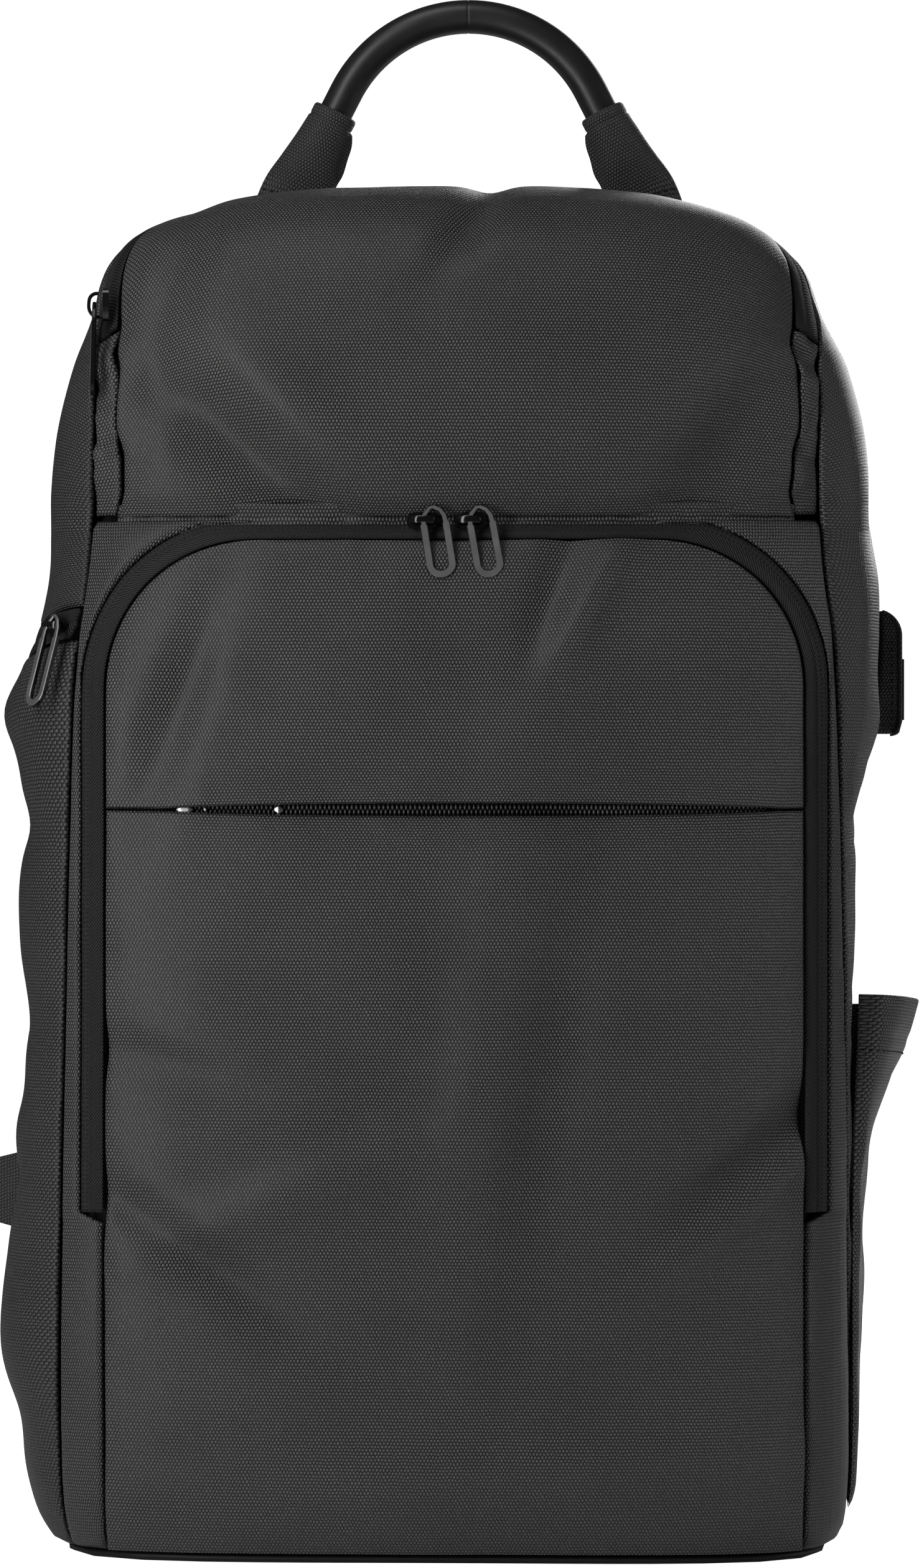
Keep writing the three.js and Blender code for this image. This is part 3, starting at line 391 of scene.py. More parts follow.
@dataclass(frozen=True)
class Arch:
    """The arched zip of the front compartment.

    Attributes:
        half: Half width of the front panel inside it.
        radius: Radius of the panel's upper corners.
        top: Level of the panel's top.
        end: Level at which the zip ends.
        cap: Highest level that any of its lines reaches.
    """

    half: float = 124
    radius: float = 52
    top: float = 363
    end: float = 123
    cap: float = 369

    def path(self, offset: float, step: float = 2.2, low: float = 124.6) -> np.ndarray:
        """Places (x, z) along the arch, from the lower left over the top to the lower right.

        Args:
            offset: Distance outside the front panel.
            step: Length between places.
            low: Level of both ends.

        Returns:
            Array of shape (n, 2).
        """
        shoulder = self.top - self.radius
        rise = np.linspace(low, shoulder, int((shoulder - low) / step) + 1)
        turn = np.radians(np.linspace(0, 90, int(self.radius * 1.57 / step) + 1))[1:]
        r = self.radius + offset
        bend_x = self.half - self.radius + r * np.cos(turn)
        bend_z = np.minimum(shoulder + r * np.sin(turn), self.cap)
        flat = self.half - self.radius
        run = np.linspace(-flat, flat, int(2 * flat / step) + 1)[1:-1]
        over = min(self.top + offset, self.cap)
        side = np.column_stack([np.full_like(rise, self.half + offset), rise])
        right = np.vstack([side, np.column_stack([bend_x, bend_z])])
        left = right * np.array([-1, 1])
        top = np.column_stack([run, np.full_like(run, over)])
        return np.vstack([left, top, right[::-1]])

    def half_at(self, z: np.ndarray, offset: float = 0) -> np.ndarray:
        """Half width of the arch at a level."""
        r = self.radius + offset
        over = z - (self.top + offset - r)
        half = self.half + offset
        round_part = half - r + np.sqrt(np.maximum(0, r * r - over * over))
        return np.where(over <= 0, half, round_part)


ARCH = Arch()


@dataclass(frozen=True)
class Crown:
    """The zip that runs round the top panel.

    Attributes:
        half: Half width of the top panel.
        radius: Radius of its upper corners.
        low: Angle over the crown at which the corners start.
        high: Angle of the panel's upper edge.
        per_mm: Degrees for a millimetre over the crown.
        end: Angle at which the zip ends.
    """

    half: float = 121
    radius: float = 50
    low: float = 42
    high: float = 84
    per_mm: float = 0.62
    end: float = 38

    def corner(self, offset: float, turn: np.ndarray) -> tuple[np.ndarray, np.ndarray]:
        """Half width and angle along the corner.

        Args:
            offset: Distance outside the top panel.
            turn: From 0 at the side to 90 at the top, in degrees.

        Returns:
            Half widths and angles over the crown.
        """
        t = np.radians(turn)
        r = self.radius + offset
        reach = self.high + offset * self.per_mm - self.low
        return self.half - self.radius + r * np.cos(t), self.low + reach * np.sin(t)

    def path(self, offset: float, low: float, step: float = 2.4) -> np.ndarray:
        """Places (x, angle) along the zip from the left end over the top to the right end."""
        angles = np.linspace(low, self.low, max(2, int((self.low - low) * 2 / step) + 1))
        half, bend = self.corner(offset, np.linspace(0, 90, int(96 / step) + 1)[1:])
        side = np.column_stack([np.full_like(angles, self.half + offset), angles])
        right = np.vstack([side, np.column_stack([half, bend])])
        flat = self.half - self.radius
        run = np.linspace(-flat, flat, int(2 * flat / step) + 1)[1:-1]
        top = np.column_stack([run, np.full_like(run, self.high + offset * self.per_mm)])
        return np.vstack([right * np.array([-1, 1]), top, right[::-1]])


CROWN = Crown()


def spread(length: float, step: float, edge: tuple = (0, 0.45, 1.0, 1.7, 2.8)) -> np.ndarray:
    """Places along a panel from 0 to 1, closer together at both edges.

    Args:
        length: Length of the panel in millimetres.
        step: Spacing in its middle.
        edge: Distances of the edge lines.

    Returns:
        Places from 0 to 1.
    """
    low = np.array(edge) / length
    count = max(2, int((length - 2 * edge[-1]) / step))
    middle = np.linspace(low[-1], 1 - low[-1], count + 1)
    return np.concatenate([low[:-1], middle, 1 - low[:-1][::-1]])


@dataclass
class Weft:
    """A cloth grid: rows by columns of places on the bag.

    Attributes:
        points: Places in millimetres, shape (rows, columns, 3).
        across: Cloth coordinate across, in millimetres.
        up: Cloth coordinate up, in millimetres.
    """

    points: np.ndarray
    across: np.ndarray
    up: np.ndarray

    def edge_distance(self) -> np.ndarray:
        """Distance of every place from the nearest edge, in millimetres."""
        nearest = np.full(self.points.shape[:2], 1e9)
        for axis in (0, 1):
            gap = np.linalg.norm(np.diff(self.points, axis=axis), axis=-1)
            pad = [(1, 0) if axis == 0 else (0, 0), (1, 0) if axis == 1 else (0, 0)]
            run = np.cumsum(np.pad(gap, pad), axis=axis)
            last = run.take([-1], axis=axis)
            nearest = np.minimum(nearest, np.minimum(run, last - run))
        return nearest

    def moved(self, height: np.ndarray, normals: np.ndarray) -> Weft:
        """The same cloth moved along the normals by a height at every place."""
        return Weft(self.points + normals * height[..., None], self.across, self.up)


def rolled_edge(distance: np.ndarray, radius: float) -> np.ndarray:
    """Drop of a turned-in edge at a distance from it, in millimetres."""
    inner = np.clip(radius - distance, 0, radius)
    return -(radius - np.sqrt(radius * radius - inner * inner))


def seam_pucker(weft: Weft, distance: np.ndarray, size: float, reach: float, seed: int) -> np.ndarray:
    """Small gathers that a seam pulls into the cloth near its edge.

    Args:
        weft: The cloth.
        distance: Distance of every place from the edge.
        size: Height of the gathers.
        reach: How far they run into the panel.
        seed: Seed of the pattern.

    Returns:
        Heights in millimetres.
    """
    fine = value_noise(weft.across, weft.up, 6.5, seed)
    wide = value_noise(weft.across, weft.up, 15, seed + 1)
    return size * (0.6 * fine + 0.8 * wide) * np.exp(-distance / reach) * np.tanh(distance / 1.6)


def unit_normals(points: np.ndarray) -> np.ndarray:
    """Unit normals of a grid, by the right hand from columns to rows."""
    across = np.gradient(points, axis=1)
    up = np.gradient(points, axis=0)
    n = np.cross(across, up)
    return n / np.maximum(np.linalg.norm(n, axis=-1, keepdims=True), 1e-9)


def side_word(side: int) -> str:
    """Left for -1 and Right for 1."""
    return "Left" if side < 0 else "Right"


def as_mesh(bm: bmesh.types.BMesh, name: str) -> bpy.types.Mesh:
    """Turns a bmesh into a mesh and frees it."""
    mesh = bpy.data.meshes.new(name)
    bm.to_mesh(mesh)
    bm.free()
    return mesh


def placed(name: str, data: bpy.types.ID) -> bpy.types.Object:
    """A new object in the scene."""
    made = bpy.data.objects.new(name, data)
    bpy.context.scene.collection.objects.link(made)
    return made


def publish(bm: bmesh.types.BMesh, name: str, material: bpy.types.Material,
            stands_for: Iterable[str] = (), crisp: float | None = None) -> bpy.types.Object:
    """Makes a finished piece from a bmesh in metres: dresses it and lets it ride on the bag.

    Args:
        bm: The mesh, freed here.
        name: Name of the piece.
        material: Its material.
        stands_for: CAD nodes that it replaces.
        crisp: Angle in degrees past which an edge stays crisp, or none.

    Returns:
        The piece.
    """
    for face in bm.faces:
        face.smooth = True
    mesh = as_mesh(bm, name)
    if crisp is not None:
        mesh.set_sharp_from_angle(angle=math.radians(crisp))
    piece = placed(name, mesh)
    mesh.materials.append(material)
    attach(piece, "root")
    if stands_for:
        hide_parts(*stands_for)
    log.info("%s: %d faces", name, len(mesh.polygons))
    return piece


def cloth_mesh(weft: Weft, hem: float = 2.4) -> bmesh.types.BMesh:
    """A cloth panel with its edges turned in.

    Args:
        weft: The cloth, with columns to the right and rows up as seen from outside.
        hem: Depth of the turned-in edge.

    Returns:
        The mesh in metres.
    """
    rows, cols = weft.points.shape[:2]
    bm = bmesh.new()
    bmesh.ops.create_grid(bm, x_segments=cols - 1, y_segments=rows - 1, size=1)
    layer = bm.verts.layers.float_vector.new(CLOTH_LAYER)
    normals = unit_normals(weft.points)
    inward = {}
    for vert in bm.verts:
        i = round((vert.co.x + 1) / 2 * (cols - 1))
        j = round((vert.co.y + 1) / 2 * (rows - 1))
        vert.co = Vector(weft.points[j, i]) * MM
        vert[layer] = Vector((weft.across[j, i] * MM, weft.up[j, i] * MM, 0))
        inward[vert] = Vector(normals[j, i]) * -hem * MM
    if hem > 0:
        rim = [e for e in bm.edges if e.is_boundary]
        made = bmesh.ops.extrude_edge_only(bm, edges=rim)["geom"]
        fresh = {g for g in made if isinstance(g, bmesh.types.BMVert)}
        for vert in fresh:
            old = next(e.other_vert(vert) for e in vert.link_edges
                       if e.other_vert(vert) not in fresh)
            vert.co = old.co + inward[old]
    return bm


# Finishes


class NodeSheet:
    """Small helper that adds and joins shader nodes in one tree."""

    def __init__(self, tree: bpy.types.NodeTree) -> None:
        """Keeps the tree.

        Args:
            tree: A material's or group's node tree.
        """
        self.tree = tree

    def add(self, kind: str, **settings: object) -> bpy.types.Node:
        """Adds a node and sets its named settings."""
        node = self.tree.nodes.new(kind)
        for key, value in settings.items():
            setattr(node, key, value)
        return node

    def join(self, source: bpy.types.NodeSocket, target: bpy.types.NodeSocket) -> None:
        """Joins two sockets."""
        self.tree.links.new(source, target)

    def feed(self, target: bpy.types.NodeSocket, value: object) -> None:
        """Gives a socket either a link or a plain value."""
        if isinstance(value, bpy.types.NodeSocket):
            self.join(value, target)
        else:
            target.default_value = value

    def math(self, operation: str, a: object, b: object = 0.0, c: object = 0.0) -> bpy.types.NodeSocket:
        """A Math node's result."""
        node = self.add("ShaderNodeMath", operation=operation)
        for socket, value in zip(node.inputs, (a, b, c)):
            self.feed(socket, value)
        return node.outputs[0]

    def mix(self, factor: object, a: object, b: object) -> bpy.types.NodeSocket:
        """A colour mix."""
        node = self.add("ShaderNodeMix", data_type="RGBA")
        self.feed(node.inputs[0], factor)
        self.feed(node.inputs[6], a)
        self.feed(node.inputs[7], b)
        return node.outputs[2]

    def blend(self, factor: object, a: object, b: object) -> bpy.types.NodeSocket:
        """A number mix."""
        node = self.add("ShaderNodeMix", data_type="FLOAT")
        self.feed(node.inputs[0], factor)
        self.feed(node.inputs[2], a)
        self.feed(node.inputs[3], b)
        return node.outputs[0]


def new_group(name: str, inputs: dict[str, tuple[str, object]], outputs: dict[str, str]) -> tuple:
    """Starts a shader node group.

    Args:
        name: Name of the group.
        inputs: Socket name to (kind, value).
        outputs: Socket name to kind.

    Returns:
        The group, its sheet, its input node and its output node.
    """
    group = bpy.data.node_groups.new(name, "ShaderNodeTree")
    for key, (kind, value) in inputs.items():
        socket = group.interface.new_socket(key, in_out="INPUT", socket_type=kind)
        if kind != "NodeSocketVector":
            socket.default_value = value
    for key, kind in outputs.items():
        group.interface.new_socket(key, in_out="OUTPUT", socket_type=kind)
    sheet = NodeSheet(group)
    return group, sheet, sheet.add("NodeGroupInput"), sheet.add("NodeGroupOutput")


def weave_group() -> bpy.types.NodeTree:
    """Rows of oval threads, each row shifted by half a thread, as on coated pack cloth."""
    group, sheet, source, out = new_group(
        "PackWeave",
        {
            "Place": ("NodeSocketVector", None),
            "Across": ("NodeSocketFloat", 0.00124),
            "Rows": ("NodeSocketFloat", 0.00115),
            "Shift": ("NodeSocketFloat", 0.5),
        },
        {"Height": "NodeSocketFloat", "Thread": "NodeSocketFloat", "Tone": "NodeSocketFloat"},
    )
    wobble = sheet.add("ShaderNodeTexNoise", noise_dimensions="3D")
    wobble.inputs["Scale"].default_value = 260
    wobble.inputs["Detail"].default_value = 1
    sheet.join(source.outputs["Place"], wobble.inputs["Vector"])
    parts = sheet.add("ShaderNodeSeparateXYZ")
    sheet.join(source.outputs["Place"], parts.inputs[0])
    sway = sheet.math("MULTIPLY", sheet.math("SUBTRACT", wobble.outputs["Fac"], 0.5), 0.5)
    v = sheet.math("ADD", sheet.math("DIVIDE", parts.outputs[1], source.outputs["Rows"]), sway)
    row = sheet.math("FLOOR", v)
    odd = sheet.math("MODULO", row, 2.0)
    slide = sheet.math("MULTIPLY", sheet.math("ABSOLUTE", odd), source.outputs["Shift"])
    u = sheet.math("ADD", sheet.math("DIVIDE", parts.outputs[0], source.outputs["Across"]), slide)
    u = sheet.math("ADD", u, sway)
    fu = sheet.math("ABSOLUTE", sheet.math("SUBTRACT", sheet.math("FRACT", u), 0.5))
    fv = sheet.math("ABSOLUTE", sheet.math("SUBTRACT", sheet.math("FRACT", v), 0.5))
    au = sheet.math("POWER", sheet.math("MULTIPLY", fu, 2.0), 2.0)
    av = sheet.math("POWER", sheet.math("MULTIPLY", fv, 1.75), 2.0)
    round_top = sheet.math("SUBTRACT", 1.0, sheet.math("ADD", au, av))
    height = sheet.math("MAXIMUM", round_top, 0.0)
    height = sheet.math("POWER", height, 0.7)
    cell = sheet.add("ShaderNodeCombineXYZ")
    sheet.join(sheet.math("FLOOR", u), cell.inputs[0])
    sheet.join(row, cell.inputs[1])
    chance = sheet.add("ShaderNodeTexWhiteNoise", noise_dimensions="2D")
    sheet.join(cell.outputs[0], chance.inputs["Vector"])
    uneven = sheet.math("MULTIPLY_ADD", chance.outputs["Value"], 0.3, 0.85)
    sheet.join(sheet.math("MULTIPLY", height, uneven), out.inputs["Height"])
    # Thread marks the thread tops; the gaps it leaves get the dark grey, which is partly painted shade.
    thread = sheet.math("SMOOTH_MIN", sheet.math("MULTIPLY", height, 1.3), 1.0, 0.1)
    sheet.join(sheet.math("MULTIPLY", thread, uneven), out.inputs["Thread"])
    tone = sheet.add("ShaderNodeTexNoise", noise_dimensions="3D")
    tone.inputs["Scale"].default_value = 26
    tone.inputs["Detail"].default_value = 4
    sheet.join(source.outputs["Place"], tone.inputs["Vector"])
    sheet.join(tone.outputs["Fac"], out.inputs["Tone"])
    return group


def herringbone_group() -> bpy.types.NodeTree:
    """Slanting ribs that meet in a chevron, fine speckle, and two rows of stitch holes on a tape."""
    group, sheet, source, out = new_group(
        "TapeHerringbone",
        {
            "Place": ("NodeSocketVector", None),
            "Rib": ("NodeSocketFloat", 0.0013),
            "Slant": ("NodeSocketFloat", 1.25),
            "Middle": ("NodeSocketFloat", 0.0043),
            "Ribbed": ("NodeSocketFloat", 0.0086),
            "Stitches": ("NodeSocketFloat", 0.0),
        },
        {"Height": "NodeSocketFloat", "Rib": "NodeSocketFloat"},
    )
    parts = sheet.add("ShaderNodeSeparateXYZ")
    sheet.join(source.outputs["Place"], parts.inputs[0])
    along, across = parts.outputs[0], parts.outputs[1]
    speckle = sheet.add("ShaderNodeTexNoise", noise_dimensions="3D")
    speckle.inputs["Scale"].default_value = 2300
    speckle.inputs["Detail"].default_value = 2
    sheet.join(source.outputs["Place"], speckle.inputs["Vector"])
    aside = sheet.math("ABSOLUTE", sheet.math("SUBTRACT", across, source.outputs["Middle"]))
    lean = sheet.math("MULTIPLY", aside, source.outputs["Slant"])
    phase = sheet.math("DIVIDE", sheet.math("ADD", along, lean), source.outputs["Rib"])
    wave = sheet.math("SINE", sheet.math("MULTIPLY", phase, math.tau))
    ribs = sheet.math("MULTIPLY_ADD", wave, 0.5, 0.5)
    beyond = sheet.math("SUBTRACT", across, source.outputs["Ribbed"])
    plain = sheet.math("MINIMUM", sheet.math("MAXIMUM", sheet.math("MULTIPLY", beyond, 2500.0), 0.0), 1.0)
    fine = sheet.math("MULTIPLY_ADD", speckle.outputs["Fac"], 1.6, -0.3)
    height = sheet.blend(plain, ribs, fine)
    dots = None
    for row in (0.0060, 0.0076):
        off = sheet.math("ABSOLUTE", sheet.math("SUBTRACT", across, row))
        near = sheet.math("MAXIMUM", sheet.math("SUBTRACT", 1.0, sheet.math("DIVIDE", off, 0.00045)), 0.0)
        beat = sheet.math("SINE", sheet.math("MULTIPLY", along, math.tau / 0.0016))
        dash = sheet.math("MULTIPLY", near, sheet.math("MAXIMUM", beat, 0.0))
        dots = dash if dots is None else sheet.math("MAXIMUM", dots, dash)
    # Stitch holes lower the height, which also darkens them in colour: partly painted shade.
    hole = sheet.math("MULTIPLY", dots, source.outputs["Stitches"])
    mixed = sheet.math("MULTIPLY", height, sheet.math("MULTIPLY_ADD", speckle.outputs["Fac"], 0.7, 0.65))
    final = sheet.math("MAXIMUM", sheet.math("SUBTRACT", mixed, sheet.math("MULTIPLY", hole, 1.2)), 0.0)
    sheet.join(final, out.inputs["Height"])
    sheet.join(final, out.inputs["Rib"])
    return group


def grain_group() -> bpy.types.NodeTree:
    """Fine grain and slow change of tone for metal and moulded plastic."""
    group, sheet, source, out = new_group(
        "FineGrain",
        {
            "Place": ("NodeSocketVector", None),
            "Size": ("NodeSocketFloat", 2400.0),
        },
        {"Height": "NodeSocketFloat", "Tone": "NodeSocketFloat"},
    )
    grain = sheet.add("ShaderNodeTexNoise", noise_dimensions="3D")
    grain.inputs["Detail"].default_value = 3
    sheet.join(source.outputs["Place"], grain.inputs["Vector"])
    sheet.join(source.outputs["Size"], grain.inputs["Scale"])
    tone = sheet.add("ShaderNodeTexNoise", noise_dimensions="3D")
    tone.inputs["Scale"].default_value = 120
    tone.inputs["Detail"].default_value = 4
    sheet.join(source.outputs["Place"], tone.inputs["Vector"])
    sheet.join(grain.outputs["Fac"], out.inputs["Height"])
    sheet.join(tone.outputs["Fac"], out.inputs["Tone"])
    return group


def grey(value: float, warm: float = 0.0) -> tuple[float, float, float, float]:
    """A linear grey, a little warm or cool."""
    return (value * (1 + warm), value, value * (1 - warm), 1.0)


@dataclass(frozen=True)
class WovenFinish:
    """A coated woven cloth.

    Attributes:
        name: Name of the material.
        thread: Linear grey of the thread tops.
        gap: Linear grey between the threads, partly the cloth's own colour and partly painted shade in the
            hollows there.
        rough: Roughness of the thread tops.
        bump: Height of the threads in metres.
        across: Thread pitch across.
        rows: Thread pitch up.
        sheen: Sheen weight of the loose fibres.
        coordinate: Name of the attribute that holds the cloth's own coordinates, or none.
    """

    name: str
    thread: float
    gap: float
    rough: float
    bump: float = 0.0005
    across: float = 0.00124
    rows: float = 0.00115
    sheen: float = 0.0
    coordinate: str | None = CLOTH_LAYER

    def material(self, weave: bpy.types.NodeTree) -> bpy.types.Material:
        """Builds the material.

        Args:
            weave: The weave group.

        Returns:
            The material.
        """
        made, sheet, shader = blank(self.name)
        place = coordinates(sheet, self.coordinate)
        cloth = sheet.add("ShaderNodeGroup", node_tree=weave)
        sheet.join(place, cloth.inputs["Place"])
        cloth.inputs["Across"].default_value = self.across
        cloth.inputs["Rows"].default_value = self.rows
        # Thread tops are lighter than the gaps: the near-black gaps are partly the cloth's colour and partly
        # painted shade between threads.
        colour = sheet.mix(cloth.outputs["Thread"], grey(self.gap), grey(self.thread, 0.008))
        tint = sheet.math("MULTIPLY_ADD", cloth.outputs["Tone"], 0.5, 0.75)
        toned = sheet.add("ShaderNodeMix", data_type="RGBA", blend_type="MULTIPLY")
        toned.inputs[0].default_value = 1.0
        sheet.join(colour, toned.inputs[6])
        sheet.join(tint, toned.inputs[7])
        sheet.join(toned.outputs[2], shader.inputs["Base Color"])
        rough = sheet.math("MULTIPLY_ADD", cloth.outputs["Tone"], 0.16, self.rough - 0.08)
        sheet.join(rough, shader.inputs["Roughness"])
        shader.inputs["Sheen Weight"].default_value = self.sheen
        shader.inputs["Sheen Roughness"].default_value = 0.5
        bump = sheet.add("ShaderNodeBump")
        bump.inputs["Distance"].default_value = self.bump
        bump.inputs["Strength"].default_value = 1.0
        sheet.join(cloth.outputs["Height"], bump.inputs["Height"])
        sheet.join(bump.outputs["Normal"], shader.inputs["Normal"])
        return made


@dataclass(frozen=True)
class TapeFinish:
    """Ribbed zip tape.

    Attributes:
        name: Name of the material.
        high: Linear grey of the rib tops.
        low: Linear grey between the ribs and in the stitch holes, partly the tape's own colour and partly
            painted shade in those hollows.
        middle: Place of the chevron across the tape, in metres.
        ribbed: Width of the ribbed part, in metres.
        stitches: Strength of the two rows of stitch holes.
        rough: Roughness.
        bump: Height of the ribs in metres.
    """

    name: str
    high: float
    low: float
    middle: float = 0.0043
    ribbed: float = 0.0086
    stitches: float = 0.0
    rough: float = 0.62
    bump: float = 0.00035

    def material(self, ribs: bpy.types.NodeTree) -> bpy.types.Material:
        """Builds the material from the herringbone group."""
        made, sheet, shader = blank(self.name)
        place = coordinates(sheet, CLOTH_LAYER)
        tape = sheet.add("ShaderNodeGroup", node_tree=ribs)
        sheet.join(place, tape.inputs["Place"])
        tape.inputs["Middle"].default_value = self.middle
        tape.inputs["Ribbed"].default_value = self.ribbed
        tape.inputs["Stitches"].default_value = self.stitches
        # Rib tops are lighter than the hollows and stitch holes, whose near-black is partly painted shade.
        colour = sheet.mix(tape.outputs["Rib"], grey(self.low), grey(self.high, -0.01))
        sheet.join(colour, shader.inputs["Base Color"])
        rough = sheet.math("MULTIPLY_ADD", tape.outputs["Rib"], -0.14, self.rough + 0.07)
        sheet.join(rough, shader.inputs["Roughness"])
        shader.inputs["Specular IOR Level"].default_value = 0.3
        bump = sheet.add("ShaderNodeBump")
        bump.inputs["Distance"].default_value = self.bump
        sheet.join(tape.outputs["Height"], bump.inputs["Height"])
        sheet.join(bump.outputs["Normal"], shader.inputs["Normal"])
        return made


@dataclass(frozen=True)
class HardFinish:
    """Painted metal or moulded plastic.

    Attributes:
        name: Name of the material.
        colour: Linear grey.
        rough: Roughness.
        metal: Metallic share.
        coat: Weight of a clear gloss.
        bump: Height of the grain in metres.
        spread: Share that the grey changes by.
        edge: Linear grey of the glossy edges of a satin face, or none.
    """

    name: str
    colour: float
    rough: float
    metal: float = 0.0
    coat: float = 0.0
    bump: float = 0.00002
    spread: float = 0.3
    edge: float | None = None

    def material(self, grain: bpy.types.NodeTree) -> bpy.types.Material:
        """Builds the material from the grain group."""
        made, sheet, shader = blank(self.name)
        place = coordinates(sheet, None)
        fine = sheet.add("ShaderNodeGroup", node_tree=grain)
        sheet.join(place, fine.inputs["Place"])
        share = fine.outputs["Tone"]
        dark, light = self.colour * (1 - self.spread), self.colour * (1 + self.spread)
        colour = sheet.mix(share, grey(dark), grey(light))
        rough = sheet.math("MULTIPLY_ADD", share, 0.14, self.rough - 0.07)
        if self.edge is not None:
            parts = sheet.add("ShaderNodeSeparateXYZ")
            sheet.join(coordinates(sheet, CLOTH_LAYER), parts.inputs[0])
            face = parts.outputs[2]
            colour = sheet.mix(face, grey(self.edge), colour)
            rough = sheet.blend(face, 0.14, rough)
        sheet.join(colour, shader.inputs["Base Color"])
        sheet.join(rough, shader.inputs["Roughness"])
        shader.inputs["Metallic"].default_value = self.metal
        shader.inputs["Coat Weight"].default_value = self.coat
        shader.inputs["Coat Roughness"].default_value = 0.12
        bump = sheet.add("ShaderNodeBump")
        bump.inputs["Distance"].default_value = self.bump
        sheet.join(fine.outputs["Height"], bump.inputs["Height"])
        sheet.join(bump.outputs["Normal"], shader.inputs["Normal"])
        return made


def blank(name: str) -> tuple[bpy.types.Material, NodeSheet, bpy.types.Node]:
    """A new material with its node sheet and its Principled shader."""
    made = bpy.data.materials.new(name)
    made.use_nodes = True
    return made, NodeSheet(made.node_tree), made.node_tree.nodes["Principled BSDF"]


def coordinates(sheet: NodeSheet, attribute: str | None) -> bpy.types.NodeSocket:
    """A piece's own cloth coordinates, or its object coordinates."""
    if attribute:
        return sheet.add("ShaderNodeAttribute", attribute_name=attribute).outputs["Vector"]
    return sheet.add("ShaderNodeTexCoord").outputs["Object"]


class Finish(Enum):
    """The finishes of the bag, by their slot names."""

    CLOTH = "coated_cloth"
    BACK = "padded_back"
    STRAP = "strap_cloth"
    TAPE = "zip_tape"
    COIL = "zip_coil"
    STEEL = "zip_steel"
    SLIDER = "slider_metal"
    PULL = "pull_metal"
    HANDLE = "handle_metal"
    WEBBING = "webbing"
    BUCKLE = "buckle_plastic"
    OUTLET = "outlet_plastic"


class Wardrobe:
    """Makes every finish once and hands it out."""

    def __init__(self) -> None:
        """Builds the groups and the materials."""
        weave, ribs, grain = weave_group(), herringbone_group(), grain_group()
        self.made = {
            Finish.CLOTH: WovenFinish("CoatedCloth", 0.094, 0.001, 0.34).material(weave),
            Finish.BACK: WovenFinish("PaddedBack", 0.055, 0.004, 0.85, 0.0007, 0.0026, 0.0022,
                                     0.3).material(weave),
            Finish.STRAP: WovenFinish("StrapCloth", 0.062, 0.003, 0.55, 0.0004).material(weave),
            Finish.TAPE: TapeFinish("ZipTape", 0.036, 0.0006, 0.0, 0.0052, 1.0).material(ribs),
            Finish.COIL: HardFinish("ZipCoil", 0.10, 0.2, 0.0, 0.6).material(grain),
            Finish.STEEL: HardFinish("ZipSteel", 0.42, 0.3, 1.0).material(grain),
            Finish.SLIDER: HardFinish("SliderMetal", 0.022, 0.14, 0.8, 0.6).material(grain),
            Finish.PULL: HardFinish("PullMetal", 0.20, 0.36, 0.6, 0.0, edge=0.012).material(grain),
            Finish.HANDLE: HardFinish("HandleMetal", 0.014, 0.4, 0.0, 0.0, 0.00003).material(grain),
            Finish.WEBBING: WovenFinish("Webbing", 0.035, 0.005, 0.75, 0.0003, 0.0016, 0.0009,
                                        0.2).material(weave),
            Finish.BUCKLE: HardFinish("BucklePlastic", 0.014, 0.45).material(grain),
            Finish.OUTLET: HardFinish("OutletPlastic", 0.018, 0.5).material(grain),
        }
        self.chevron = TapeFinish("ChevronTape", 0.028, 0.0006).material(ribs)
        self.thread = HardFinish("StitchThread", 0.006, 0.8).material(grain)
        # A darker copy of the coated cloth for the left side's panels: painted shade for the less lit side
        # of the same cloth.
        self.painted_shade = WovenFinish("PaintedShadeCloth", 0.056, 0.001, 0.46).material(weave)

    def __getitem__(self, finish: Finish) -> bpy.types.Material:
        """The material of a finish."""
        return self.made[finish]


# Cloth of the bag


